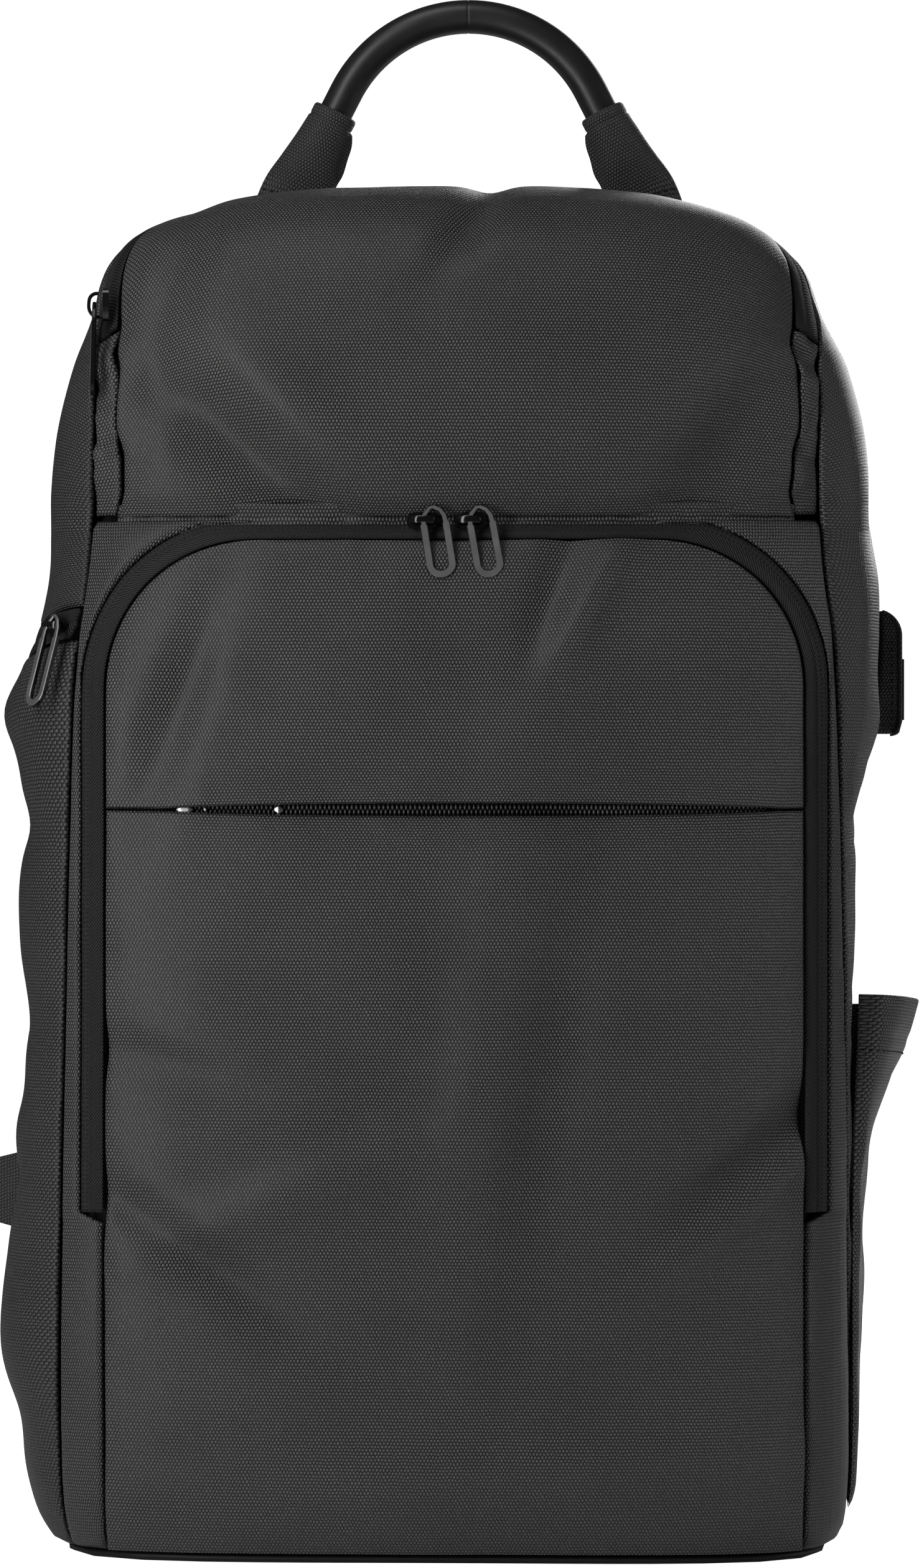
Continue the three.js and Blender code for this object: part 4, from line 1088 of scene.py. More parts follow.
@dataclass
class Panels:
    """The cloth panels of the bag.

    Attributes:
        wardrobe: The finishes.
        step: Spacing of the cloth grid.
        roll: Radius of the turned-in edges.
        full: Height of the front's fullness.
        lift: Height of the front's edges off the skin.
        lips: Reach of the slit's open lips up and down the cloth.
        crown_run: Length of the top panel over the crown.
        crown_bend: Share of that length at which its corners start.
        side_run: Width of a side from its seam to the back.
        hub: Level from which the cloth of a side runs over the top.
        corner: Turn of the arch in degrees at which the gusset's outer edge meets the crease.
    """

    wardrobe: Wardrobe
    step: float = 2.2
    roll: float = 1.5
    full: float = 3.4
    lift: float = 0.3
    lips: float = 14
    crown_run: float = 190
    crown_bend: float = 0.42
    side_run: float = 140
    hub: float = 372.0
    corner: float = 38.57

    def piece(self, name: str, weft: Weft, nodes: Iterable[str], painted_shade: bool = False,
              hem: float = 2.4) -> bpy.types.Object:
        """Publishes one panel, in the plain cloth or in its darker copy that paints shade."""
        bm = cloth_mesh(weft, hem)
        # The darker copy paints the shade of the left side onto its cloth.
        dress = self.wardrobe.painted_shade if painted_shade else self.wardrobe[Finish.CLOTH]
        made = publish(bm, name, dress, nodes)
        declare(weft, hem=hem)
        return made

    def settle(self, weft: Weft, height: np.ndarray, seed: int, pucker: float = 0.5,
               reach: float = 7) -> Weft:
        """Rolls the edges in, adds gathers along the seams and the height given.

        Args:
            weft: The cloth on the skin.
            height: Height off the skin at every place.
            seed: Seed of the gathers.
            pucker: Height of the gathers.
            reach: How far they run in.

        Returns:
            The settled cloth.
        """
        distance = weft.edge_distance()
        normals = BODY.outward(weft.points)
        slow = 0.35 * value_noise(weft.across, weft.up, 34, seed + 7)
        slow += 0.16 * value_noise(weft.across, weft.up, 13, seed + 8)
        total = height + rolled_edge(distance, self.roll)
        total += seam_pucker(weft, distance, pucker, reach, seed)
        total += slow * np.tanh(distance / 9)
        return weft.moved(total, normals)

    @staticmethod
    def pillow(u: np.ndarray, v: np.ndarray, height: float) -> np.ndarray:
        """Fullness of a panel: nothing at its edges and full in the middle."""
        full = (1 - np.abs(u) ** 2.6) * (1 - (2 * v - 1) ** 6)
        return height * np.maximum(0, full) ** 0.7

    @staticmethod
    def sway(side: int, angle: np.ndarray) -> np.ndarray:
        """Sideways wander of the seam between the top panel and its crumpled strip."""
        wave = 3.0 * value_noise(angle * 1.1, 0 * angle + side * 40.0, 9, 121)
        return wave * np.clip(angle / 5, 0, 1) * np.clip((CROWN.end - angle) / 6, 0, 1)

    @staticmethod
    def slit_gap(x: np.ndarray) -> np.ndarray:
        """Half opening of the slit pocket at a place across."""
        return SEAM / 2 + 1.9 * np.maximum(0, 1 - ((x - 6) / 108) ** 2) ** 0.7

    def front_upper(self) -> bpy.types.Object:
        """The panel above the slit pocket, under the arch."""
        u = spread(2 * ARCH.half, self.step) * 2 - 1
        v = spread(ARCH.top - SLIT_Z, self.step)
        shoulder = (ARCH.top - ARCH.radius - SLIT_Z) / (ARCH.top - SLIT_Z)
        bend = np.clip((v - shoulder) / (1 - shoulder), 0, 1)
        level = np.where(v < shoulder, v, shoulder + (1 - shoulder) * np.sin(bend * np.pi / 2))
        z = SLIT_Z + level * (ARCH.top - SLIT_Z)
        uu, zz = np.meshgrid(u, z)
        x = uu * ARCH.half_at(zz)
        low = self.slit_gap(x) * np.clip(1 - (zz - SLIT_Z) / self.lips, 0, 1)
        points = BODY.on_front(x, zz + low)
        share = (zz - SLIT_Z) / (ARCH.top - SLIT_Z)
        height = self.lift + self.pillow(uu, 0.5 + share / 2, self.full) + fold_sum(FRONT_FOLDS, x, zz)
        weft = self.settle(Weft(points, x, zz), height, 11)
        return self.piece("FrontPanelUpper", weft, ["front_panel_upper"])

    def front_lower(self) -> bpy.types.Object:
        """The panel below the slit pocket, down to the base."""
        u = spread(2 * ARCH.half, self.step) * 2 - 1
        v = spread(SLIT_Z - FOOT_Z, self.step)
        uu, zz = np.meshgrid(u, FOOT_Z + v * (SLIT_Z - FOOT_Z))
        x = uu * ARCH.half
        low = self.slit_gap(x) * np.clip(1 - (SLIT_Z - zz) / self.lips, 0, 1)
        points = BODY.on_front(x, zz - low)
        share = (zz - FOOT_Z) / (SLIT_Z - FOOT_Z)
        height = self.lift + self.pillow(uu, share, self.full) + fold_sum(FRONT_FOLDS, x, zz)
        weft = self.settle(Weft(points, x, zz), height, 23)
        return self.piece("FrontPanelLower", weft, ["front_panel_lower"])

    def gusset(self, side: int) -> bpy.types.Object:
        """The strip between the arch zip and the side seam."""
        gap = TAPE_WIDE + SEAM
        low = np.arange(FOOT_Z, ARCH.end, 2.4)
        inner = [np.column_stack([np.full_like(low, ARCH.half + SEAM), low])]
        rise = np.arange(ARCH.end + 1.6, ARCH.top - ARCH.radius, 2.4)
        inner.append(np.column_stack([np.full_like(rise, ARCH.half + gap), rise]))
        outer = [np.column_stack([seam_x(low) - SEAM / 2, low]),
                 np.column_stack([seam_x(rise) - SEAM / 2, rise])]
        turn = np.linspace(0, 90, 40)
        r = ARCH.radius + gap
        t = np.radians(turn)
        bend_x = ARCH.half - ARCH.radius + r * np.cos(t)
        bend_z = np.minimum(ARCH.top - ARCH.radius + r * np.sin(t), ARCH.cap + SEAM)
        roof = CREASE_Z - 0.4
        up = np.clip(turn / self.corner, 0, 1)
        out_z = (rise[-1] + 22) * (1 - up) + roof * up
        slide = np.clip((turn - self.corner) / (90 - self.corner), 0, 1)
        out_x = (seam_x(out_z) - SEAM / 2) * (1 - slide) + (ARCH.half - ARCH.radius) * slide
        inner.append(np.column_stack([bend_x, bend_z]))
        outer.append(np.column_stack([out_x, out_z]))
        ins, outs = np.vstack(inner), np.vstack(outer)
        v = spread(7.5, 1.2, (0, 0.45, 1.0, 1.7))
        x = ins[:, 0, None] * (1 - v) + outs[:, 0, None] * v
        z = ins[:, 1, None] * (1 - v) + outs[:, 1, None] * v
        if side < 0:
            x = -x[:, ::-1]
            z = z[:, ::-1]
        points = BODY.on_front(x, z)
        distance = Weft(points, x, z).edge_distance()
        height = 0.35 * np.tanh(distance / 2)
        turned = x + side * (points[..., 1] - points[..., 1].min())
        weft = self.settle(Weft(points, turned, z), height, 31 + side, 0.35, 5)
        word = side_word(side)
        return self.piece(f"FrontGusset{word}", weft, [f"front_gusset_{word.lower()}"])

    def crown(self) -> bpy.types.Object:
        """The top panel, from the crease up the front and over the top."""
        u = spread(2 * CROWN.half, self.step) * 2 - 1
        t = spread(self.crown_run, self.step)
        start = 0.3
        low = start + (CROWN.low - start) * np.clip(t / self.crown_bend, 0, 1)
        turn = np.clip((t - self.crown_bend) / (1 - self.crown_bend), 0, 1) * 90
        half, bend = CROWN.corner(0, turn)
        angle = np.where(t < self.crown_bend, low, bend)
        uu, aa = np.meshgrid(u, angle)
        hh = np.meshgrid(u, half)[1]
        loose = np.where(uu < 0, -self.sway(-1, aa), self.sway(1, aa))
        x = uu * hh + loose * np.abs(uu) ** 8
        points = BODY.on_crown(x, aa)
        height = self.pillow(uu, aa / CROWN.high, 2.8) + fold_sum(CROWN_FOLDS, x, points[..., 2])
        weft = self.settle(Weft(points, x, profile_length(points, x)), height, 41)
        return self.piece("CrownPanel", weft, ["crown_panel"])

    def crown_strip(self, side: int) -> bpy.types.Object:
        """The crumpled strip below each end of the crown zip."""
        angle = np.linspace(0.6, CROWN.end - 0.6, 46)
        offset = SEAM + spread(TAPE_WIDE - SEAM, 0.9, (0, 0.45, 1.0)) * (TAPE_WIDE - SEAM)
        oo, aa = np.meshgrid(offset, angle)
        x = side * (CROWN.half + oo + self.sway(side, aa) * (1 - oo / TAPE_WIDE))
        if side < 0:
            x, aa = x[:, ::-1], aa[:, ::-1]
        points = BODY.on_crown(x, aa)
        up = profile_length(points, x)
        crumple = 1.5 * value_noise(x * 0.4, up, 8.5, 51 + side) + 0.7 * value_noise(x, up, 4.2, 53 + side)
        weft = self.settle(Weft(points, x, up), -0.4 + crumple, 55 + side, 0.5, 4)
        word = side_word(side)
        return self.piece(f"CrownStrip{word}", weft, [f"crown_strip_{word.lower()}"])

    def band(self, rows: list[tuple[np.ndarray, float]], folds: list[Fold]) -> tuple[Weft, np.ndarray]:
        """Cloth that runs from front points back to the back seam.

        Args:
            rows: Front point and share of the zip's tilt of every row.
            folds: Folds by depth and level.

        Returns:
            The cloth, columns from the front to the back, and its height off the skin.
        """
        front = np.array([r[0] for r in rows])
        tilt = np.array([r[1] for r in rows])[:, None]
        back = BACK_SEAM_Y - SEAM
        v = spread(self.side_run, 2.6)
        y = front[:, 1, None] * (1 - v) + back * v
        wide = CROWN.half - CROWN.radius
        low = (front[:, 2] < self.hub)[:, None]
        level = front[:, 2, None] + tilt * (zip_tilt(y) - zip_tilt(front[:, 1, None]))
        hub_x = np.clip(front[:, 0], -wide, wide)[:, None] + 0 * y
        start = np.stack([np.where(low, 0, hub_x), y, np.where(low, level, self.hub)], -1)
        way = np.stack([
            np.where(low, np.sign(front[:, 0, None]), front[:, 0, None] - hub_x),
            np.zeros_like(y),
            np.where(low, 0, front[:, 2, None] - self.hub) + 0 * y,
        ], -1)
        way /= np.linalg.norm(way, axis=-1, keepdims=True)
        points = BODY.reach(start, way)
        up = length_along(points[:, len(v) // 2])[:, None] + 0 * y
        height = fold_sum(folds, y, points[..., 2]) * np.sin(np.pi * v)
        return Weft(points, y, up), height

    def side(self, name: str, side: int, levels: Iterable[tuple[float, float]], crown: bool,
             node: str, seed: int) -> bpy.types.Object:
        """One side panel.

        Args:
            name: Name of the piece.
            side: -1 for the left and 1 for the right.
            levels: Level and share of the zip's tilt of every row below the crease.
            crown: Whether it runs on over the top to the handle.
            node: CAD node that it stands for.
            seed: Seed of its gathers.

        Returns:
            The piece.
        """
        rows = []
        for z, tilt in levels:
            at = z + tilt * LEFT_RISE
            x = side * (float(seam_x(np.array(at))) + SEAM)
            rows.append((BODY.on_front(x, at), tilt))
        gap = TAPE_WIDE + SEAM
        if crown:
            for angle in np.arange(3, CROWN.low, 1.5):
                rows.append((BODY.on_crown(side * (CROWN.half + gap), angle), 0.0))
            for turn in np.linspace(0, 90, 46):
                half, angle = CROWN.corner(gap, np.array(turn))
                rows.append((BODY.on_crown(side * half, angle), 0.0))
        weft, height = self.band(rows, SIDE_FOLDS)
        settled = self.settle(weft, height, seed, 0.6, 9)
        if side < 0:
            settled = Weft(settled.points[:, ::-1], -settled.across[:, ::-1], settled.up[:, ::-1])
        # The left side's panels (side < 0) get the darker copy of the cloth, which is painted shade.
        return self.piece(name, settled, [node], side < 0)

    def top_gusset(self) -> bpy.types.Object:
        """The flat strip behind the crown zip, between the sides."""
        gap = TAPE_WIDE + SEAM
        wide = CROWN.half - CROWN.radius - SEAM
        over = CROWN.high + gap * CROWN.per_mm
        rows = [(BODY.on_crown(x, over), 0.0) for x in np.linspace(wide, -wide, 60)]
        weft, _ = self.band(rows, [])
        across = weft.points[..., 0]
        settled = self.settle(Weft(weft.points, across, weft.across), 0 * across, 71, 0.4, 8)
        return self.piece("TopGusset", settled, ["top_gusset"])

    def crease(self) -> bpy.types.Object:
        """The cloth at the bottom of the crease between the top panel and the front."""
        half, tall = CROWN.half, 4.5
        x, z = np.meshgrid(np.linspace(-half, half, 110), np.linspace(CREASE_Z - tall, CREASE_Z + tall, 12))
        skin = BODY.on_front(x, z)
        sunk = -1.1 + 0.5 * value_noise(x, z, 6, 97) - 0.5 * np.exp(-((z - CREASE_Z) / 1.5) ** 2)
        return self.piece("CreaseCloth", Weft(skin, x, z).moved(sunk, BODY.outward(skin)), [], hem=1.0)

    def base(self) -> bpy.types.Object:
        """The base cloth, the shape of its CAD plate with the doubles merged."""
        bm = bmesh.new()
        bm.from_mesh(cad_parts["base_panel"].data)
        bmesh.ops.remove_doubles(bm, verts=bm.verts, dist=1e-6)
        return publish(bm, "BaseCloth", self.wardrobe[Finish.STRAP], ["base_panel"])

    def build(self) -> None:
        """Builds every panel."""
        for panel in (self.front_upper, self.front_lower, self.crown, self.top_gusset, self.crease,
                      self.base):
            panel()
        for side in (-1, 1):
            self.gusset(side)
            self.crown_strip(side)
        pitch = 2.6
        below = ZIP_LOW - TILT_FROM
        left_low = [(z, 0.0) for z in np.arange(FOOT_Z, TILT_FROM, pitch)]
        left_low += [(z, (z - TILT_FROM) / below) for z in np.linspace(TILT_FROM, ZIP_LOW, 28)]
        above = np.linspace(ZIP_HIGH, ZIP_HIGH + TILT_OVER, 15)
        left_high = [(z, 1 - (z - ZIP_HIGH) / TILT_OVER) for z in above]
        right = [(z, 0.0) for z in np.arange(FOOT_Z, 368, pitch)]
        self.side("SidePocketLeft", -1, left_low, False, "side_pocket_left", 81)
        self.side("SidePanelLeft", -1, left_high, True, "side_panel_left", 83)
        self.side("SidePanelRight", 1, right, True, "side_panel_right", 85)


def zip_tilt(y: np.ndarray) -> np.ndarray:
    """Height of the left pocket zip off level at a depth: it falls by twice its rise towards the back."""
    return LEFT_RISE - 2 * LEFT_RISE * np.clip((y + 62) / 76, 0, 1)


def profile_length(points: np.ndarray, x: np.ndarray) -> np.ndarray:
    """Length up the front and over the top at every place, read off the middle column."""
    middle = points[:, points.shape[1] // 2]
    run = length_along(middle)
    angle = np.arctan2(middle[:, 2] - CREASE_Z, -middle[:, 1] + 1e-6)
    here = np.arctan2(points[..., 2] - CREASE_Z, -points[..., 1] + 1e-6)
    return np.interp(here.ravel(), angle, run).reshape(x.shape)


@dataclass
class ZipTapes:
    """The covered zips: two tapes whose folded edges meet along the middle.

    Attributes:
        wardrobe: The finishes.
        sunk: Depth of the tapes' edges in the skin.
        bulge: Height of the two folds beside the middle.
    """

    wardrobe: Wardrobe
    sunk: float = 0.5
    bulge: float = 0.55

    def lay(self, name: str, paths: list[np.ndarray], place: Callable, node: str,
            chevron: bool = False) -> bpy.types.Object:
        """Lays one tape between two paths.

        Args:
            name: Name of the piece.
            paths: Inner path, then outer path, of equal count.
            place: Function from a path's two columns to points.
            node: CAD node that it stands for.
            chevron: Whether its ribs meet in the middle.

        Returns:
            The piece.
        """
        inner, outer = paths
        v = np.array([0, 0.05, 0.12, 0.22, 0.34, 0.44, 0.49, 0.51, 0.56, 0.66, 0.78, 0.88, 0.95, 1])
        a = inner[:, None] * (1 - v)[None, :, None] + outer[:, None] * v[None, :, None]
        points = place(a[..., 0], a[..., 1])
        along = length_along(points[:, len(v) // 2])[:, None] + 0 * a[..., 0]
        across = (v * TAPE_WIDE)[None, :] + 0 * along
        bulge = self.bulge * np.sqrt(np.maximum(0, 1 - (np.abs(np.abs(v - 0.5) - 0.25) / 0.25) ** 2))
        height = -self.sunk + bulge[None, :] + 0.12 * value_noise(along, across, 9, 91)
        normals = BODY.outward(points)
        weft = Weft(points + normals * height[..., None], along, across)
        facing = unit_normals(weft.points)
        if float(np.sum(facing * normals)) < 0:
            weft = Weft(weft.points[:, ::-1], along[:, ::-1], across[:, ::-1])
        bm = cloth_mesh(weft, 1.6)
        dress = self.wardrobe.chevron if chevron else self.wardrobe[Finish.TAPE]
        made = publish(bm, name, dress, [node])
        declare(weft, hem=1.6)
        return made

    def build(self) -> None:
        """Lays the arch, crown and side tapes."""
        arch = [ARCH.path(SEAM), ARCH.path(TAPE_WIDE)]
        crown = [CROWN.path(SEAM, CROWN.end), CROWN.path(TAPE_WIDE, CROWN.end)]
        self.lay("ArchZipTape", arch, BODY.on_front, "arch_zip_tape")
        self.lay("CrownZipTape", crown, BODY.on_crown, "crown_zip_tape", True)
        self.side()

    def side(self) -> bpy.types.Object:
        """The tape of the left pocket zip."""
        front = float(BODY.on_front(np.array(-136.0), np.array(334.0))[1])
        y = np.linspace(front, BACK_SEAM_Y - SEAM, 60)
        low = np.column_stack([y, np.full_like(y, ZIP_LOW + SEAM)])
        high = np.column_stack([y, np.full_like(y, ZIP_HIGH - SEAM)])

        def place(depth: np.ndarray, level: np.ndarray) -> np.ndarray:
            """Points of the left side at a depth and a level along the tilted zip."""
            return BODY.on_side(-1, depth, level + zip_tilt(depth))

        return self.lay("SideZipTape", [low, high], place, "side_zip_tape", True)


# Fittings


def outline_ring(count: int, power: float) -> np.ndarray:
    """A rounded unit square as points round from its +x side, shape (count, 2)."""
    t = np.linspace(0, math.tau, count, endpoint=False)
    c, s = np.cos(t), np.sin(t)
    r = (np.abs(c) ** power + np.abs(s) ** power) ** (-1 / power)
    return np.column_stack([c * r, s * r])


def ring_loft(rings: np.ndarray, caps: bool = True) -> bmesh.types.BMesh:
    """A closed skin through rings of equal count, with cloth coordinates round and along it.

    Args:
        rings: Points in millimetres, shape (rings, points, 3).
        caps: Whether both ends are closed.

    Returns:
        The mesh in metres.
    """
    rows, count = rings.shape[:2]
    bm = bmesh.new()
    bmesh.ops.create_grid(bm, x_segments=count, y_segments=rows - 1, size=1)
    layer = bm.verts.layers.float_vector.new(CLOTH_LAYER)
    closed = np.concatenate([rings, rings[:, :1]], axis=1)
    gaps = np.linalg.norm(np.diff(closed, axis=1), axis=-1)
    round_run = np.concatenate([np.zeros((rows, 1)), np.cumsum(gaps, axis=1)], axis=1)
    across = np.abs(round_run - round_run[:, -1:] / 2)
    up = length_along(rings.mean(axis=1))
    for vert in bm.verts:
        i = round((vert.co.x + 1) / 2 * count)
        j = round((vert.co.y + 1) / 2 * (rows - 1))
        vert.co = Vector(closed[j, i]) * MM
        vert[layer] = Vector((across[j, i] * MM, up[j] * MM, 0))
    bmesh.ops.remove_doubles(bm, verts=bm.verts, dist=1e-7)
    if caps:
        bmesh.ops.holes_fill(bm, edges=[e for e in bm.edges if e.is_boundary], sides=0)
    bmesh.ops.recalc_face_normals(bm, faces=bm.faces)
    return bm


def join(bm: bmesh.types.BMesh, part: bmesh.types.BMesh) -> None:
    """Adds one mesh's shape to another.

    Args:
        bm: The mesh that grows.
        part: The mesh to add, freed here.
    """
    mesh = as_mesh(part, "Part")
    bm.from_mesh(mesh)
    bpy.data.meshes.remove(mesh)


def swept(path: np.ndarray, sideways: Iterable[float], ring: np.ndarray, wide: float | np.ndarray = 1.0,
          thick: float | np.ndarray = 1.0) -> np.ndarray:
    """Carries a section along a path.

    Args:
        path: Points of its middle line.
        sideways: Rough direction across.
        ring: The section as points round it, across and out.
        wide: Its scale across, one or one for every point.
        thick: Its scale out, one or one for every point.

    Returns:
        Rings of points, shape (path points, ring points, 3).
    """
    across = np.array(sideways, float)
    way = np.gradient(path, axis=0)
    way /= np.linalg.norm(way, axis=-1, keepdims=True)
    flat = across - way * np.sum(way * across, axis=-1, keepdims=True)
    flat /= np.linalg.norm(flat, axis=-1, keepdims=True)
    out = np.cross(way, flat)
    return (path[:, None] + flat[:, None] * ring[None, :, :1] * np.reshape(wide, (-1, 1, 1))
            + out[:, None] * ring[None, :, 1:] * np.reshape(thick, (-1, 1, 1)))


def smooth_path(points: Iterable, count: int) -> np.ndarray:
    """A smooth curve through rows of numbers, with even steps along it.

    Args:
        points: Rows of numbers, the first three a place.
        count: Number of rows wanted.

    Returns:
        Array of shape (count, numbers).
    """
    rows = np.array(list(points), float)
    at = length_along(rows[:, :3])
    slope = np.gradient(rows, at, axis=0)
    want = np.linspace(0, at[-1], count)
    i = np.clip(np.searchsorted(at, want, side="right") - 1, 0, len(at) - 2)
    wide = (at[i + 1] - at[i])[:, None]
    t = ((want - at[i]) / wide[:, 0])[:, None]
    return between(t, wide, rows, slope, i)


@dataclass
class Stitching:
    """Rows of single stitches laid on cloth.

    Attributes:
        wardrobe: The finishes.
        long: Length of a stitch.
        pitch: Length between stitches.
        thick: Thickness of the thread.
    """

    wardrobe: Wardrobe
    long: float = 2.2
    pitch: float = 3.3
    thick: float = 0.5

    def sew(self, name: str, rows: list[np.ndarray]) -> bpy.types.Object:
        """Sews stitches along rows of points.

        Args:
            name: Name of the piece.
            rows: Point rows on the cloth, in millimetres.

        Returns:
            The piece.
        """
        bm = bmesh.new()
        for row in rows:
            at = length_along(row)
            for start in np.arange(self.pitch / 2, at[-1] - self.long / 2, self.pitch):
                ends = [np.array([np.interp(start + h * self.long, at, row[:, k]) for k in range(3)])
                        for h in (-0.5, 0.5)]
                middle = (ends[0] + ends[1]) / 2
                way = Vector(ends[1] - ends[0]).normalized()
                turn = way.to_track_quat("X", "Z").to_matrix().to_4x4()
                size = Matrix.Diagonal((self.long / 2, self.thick / 2, self.thick / 2, 1))
                place = Matrix.Translation(Vector(middle)) @ turn @ size
                bmesh.ops.create_uvsphere(bm, u_segments=6, v_segments=4, radius=1, matrix=place)
        bmesh.ops.scale(bm, verts=bm.verts, vec=(MM, MM, MM))
        return publish(bm, name, self.wardrobe.thread)


@dataclass
class PaintedShadeLining:
    """Near-black lining just inside the cloth, which shows in the seams and behind the slit as painted
    shade.

    Attributes:
        wardrobe: The finishes.
        inset: Distance inside the skin.
        around: Number of points round it.
    """

    wardrobe: Wardrobe
    inset: float = 7.5
    around: int = 120

    def build(self) -> bpy.types.Object:
        """Makes the lining, one closed skin from the base over the top."""
        t = np.linspace(0, math.tau, self.around, endpoint=False)
        out = np.stack([np.cos(t), np.sin(t), 0 * t], -1)
        rings = []
        for z in np.linspace(FOOT_Z + 3, CREASE_Z, 30):
            start = np.broadcast_to(np.array([0, 0, z]), out.shape)
            rings.append(BODY.reach(start, out))
        for rise in np.radians(np.linspace(4, 86, 20)):
            flat = out * np.array([CROWN_WIDE, CROWN_DEEP, 0])
            way = flat * math.cos(rise) + np.array([0, 0, TOP_Z - CREASE_Z]) * math.sin(rise)
            way /= np.linalg.norm(way, axis=-1, keepdims=True)
            start = np.broadcast_to(np.array([0, 0, CREASE_Z]), out.shape)
            rings.append(BODY.reach(start, way))
        points = np.array(rings)
        shrink = self.inset * np.where(points[..., 2:] < CREASE_Z + 30, 1.0, 0.8)
        points = points - BODY.outward(points) * shrink
        bm = ring_loft(points)
        # The lining takes the near-black thread finish, so the seams and the slit show painted shade.
        return publish(bm, "PaintedShadeLining", self.wardrobe.thread)


class SleeveRow(NamedTuple):
    """One section of a handle sleeve, up the leg from its seat."""

    up: float
    half: float
    deep: float
    out: float


SLEEVE_ROWS = [
    SleeveRow(-2.2, 15.6, 3.0, -2.2),
    SleeveRow(0, 15, 3.2, -2),
    SleeveRow(9, 13.6, 5.0, -1.2),
    SleeveRow(18, 11.4, 7.2, -0.5),
    SleeveRow(27, 9.6, 8.2, 0),
    SleeveRow(36, 8.7, 8.5, 0),
    SleeveRow(36.8, 8.2, 8.1, 0),
    SleeveRow(37.6, 8.5, 8.4, 0),
    SleeveRow(40.4, 8.5, 8.4, 0),
    SleeveRow(41.2, 8.0, 7.9, 0),
    SleeveRow(41.3, 7.0, 6.9, 0),
    SleeveRow(40.6, 6.6, 6.5, 0),
    SleeveRow(37.0, 6.6, 6.5, 0),
]


@dataclass
class Handle:
    """The metal tube handle and the cloth sleeves at its ends.

    Attributes:
        wardrobe: The finishes.
        x: Place of its middle across.
        y: Its depth.
        top: Highest point of the tube's middle line.
        bend: Radius of its arc.
        lean: Lean of the legs in degrees.
        tube: Radius of the tube.
        foot: Height of the lower ends.
        weld: Share that the tube narrows to at its weld seam.
    """

    wardrobe: Wardrobe
    x: float = 1.4
    y: float = 35
    top: float = 561.6
    bend: float = 51
    lean: float = 27
    tube: float = 6.25
    foot: float = 503.4
    weld: float = 0.975

    def bar(self) -> bpy.types.Object:
        """The tube: a circle spun both ways from the weld seam and drawn down the legs."""
        bm = bmesh.new()
        summit = Vector((self.x, self.y, self.top))
        start = Matrix.Translation(summit) @ Matrix.Rotation(math.pi / 2, 4, "Y")
        seam = bmesh.ops.create_circle(bm, cap_ends=False, segments=40, radius=self.tube,
                                       matrix=start)["verts"]
        first = seam + bm.edges[:]
        turn = 90 - self.lean
        hub = (self.x, self.y, self.top - self.bend)
        for side in (-1, 1):
            loop = first
            for angle, steps in ((0.45, 1), (0.5, 1), (turn - 0.95, 26)):
                spun = bmesh.ops.spin(bm, geom=loop, cent=hub, axis=(0, 1, 0), steps=steps,
                                      angle=math.radians(side * angle), use_duplicate=False)
                loop = spun["geom_last"]
            edges = [g for g in loop if isinstance(g, bmesh.types.BMEdge)]
            pulled = bmesh.ops.extrude_edge_only(bm, edges=edges)["geom"]
            fresh = [g for g in pulled if isinstance(g, bmesh.types.BMVert)]
            slope = math.tan(math.radians(self.lean))
            for vert in fresh:
                drop = vert.co.z - self.foot
                vert.co += Vector((side * slope * drop, 0, -drop))
        for vert in seam:
            vert.co = summit + (vert.co - summit) * self.weld
        bmesh.ops.recalc_face_normals(bm, faces=bm.faces)
        bmesh.ops.scale(bm, verts=bm.verts, vec=(MM, MM, MM))
        return publish(bm, "HandleBar", self.wardrobe[Finish.HANDLE], ["handle_bar"])

    def sleeve(self, side: int) -> None:
        """One sleeve with its folded hem, its inner flap and the seam at its foot."""
        lean = math.radians(self.lean)
        turn = math.radians(90 - self.lean)
        arc = np.array([self.x + side * self.bend * math.sin(turn), self.y,
                        self.top - self.bend + self.bend * math.cos(turn)])
        end = arc + np.array([side * math.tan(lean), 0, -1]) * (arc[2] - self.foot)
        up = np.array([-side * math.sin(lean), 0, math.cos(lean)])
        across = np.array([side * math.cos(lean), 0, math.sin(lean)])
        level = np.array([side * 0.995, 0, -0.0995])
        seat = BODY.reach(np.array([end[0] + side * 4, self.y, CREASE_Z + 29]), np.array([0, 0, 1.0]), 150)
        base = end + up * (seat[2] + 2.2 - end[2]) / up[2]
        rows = np.array(SLEEVE_ROWS)
        body = smooth_path([(0, 0, r[0], *r) for r in rows[:6]], 34)[:, 3:]
        table = np.vstack([body, rows[6:]])
        rings = []
        count = 72
        for k, (rise, half, deep, out) in enumerate(table):
            share = min(max(rise, 0) / 9, 1)
            flat = level * (1 - share) + across * share
            flat /= np.linalg.norm(flat)
            ring = outline_ring(count, 3.4 - 1.2 * share)
            t = np.arange(count) / count * math.tau
            soft = 1 + 0.018 * value_noise(t * 9, np.full_like(t, rise), 8, 101 + side)
            x = ring[:, 0] * half * soft
            if k < len(body):
                flap = 2.3 * np.exp(-((t - math.pi) / 0.16) ** 2) * math.exp(-((rise - 27) / 9) ** 4)
                x = x + np.sign(ring[:, 0]) * flap
            y = ring[:, 1] * deep * soft
            centre = base + up * rise + across * out
            rings.append(centre + x[:, None] * flat + y[:, None] * np.array([0, 1.0, 0]))
        points = np.array(rings)
        bm = ring_loft(points, caps=False)
        word = side_word(side)
        publish(bm, f"HandleSleeve{word}", self.wardrobe[Finish.STRAP],
                [f"handle_sleeve_{word.lower()}"])
        front = points[7, count // 2:] + np.array([0, -0.15, 0])
        Stitching(self.wardrobe, 1.5, 3.0, 0.9).sew(f"SleeveStitch{word}", [front])

    def build(self) -> None:
        """Builds the tube and both sleeves."""
        self.bar()
        for side in (-1, 1):
            self.sleeve(side)


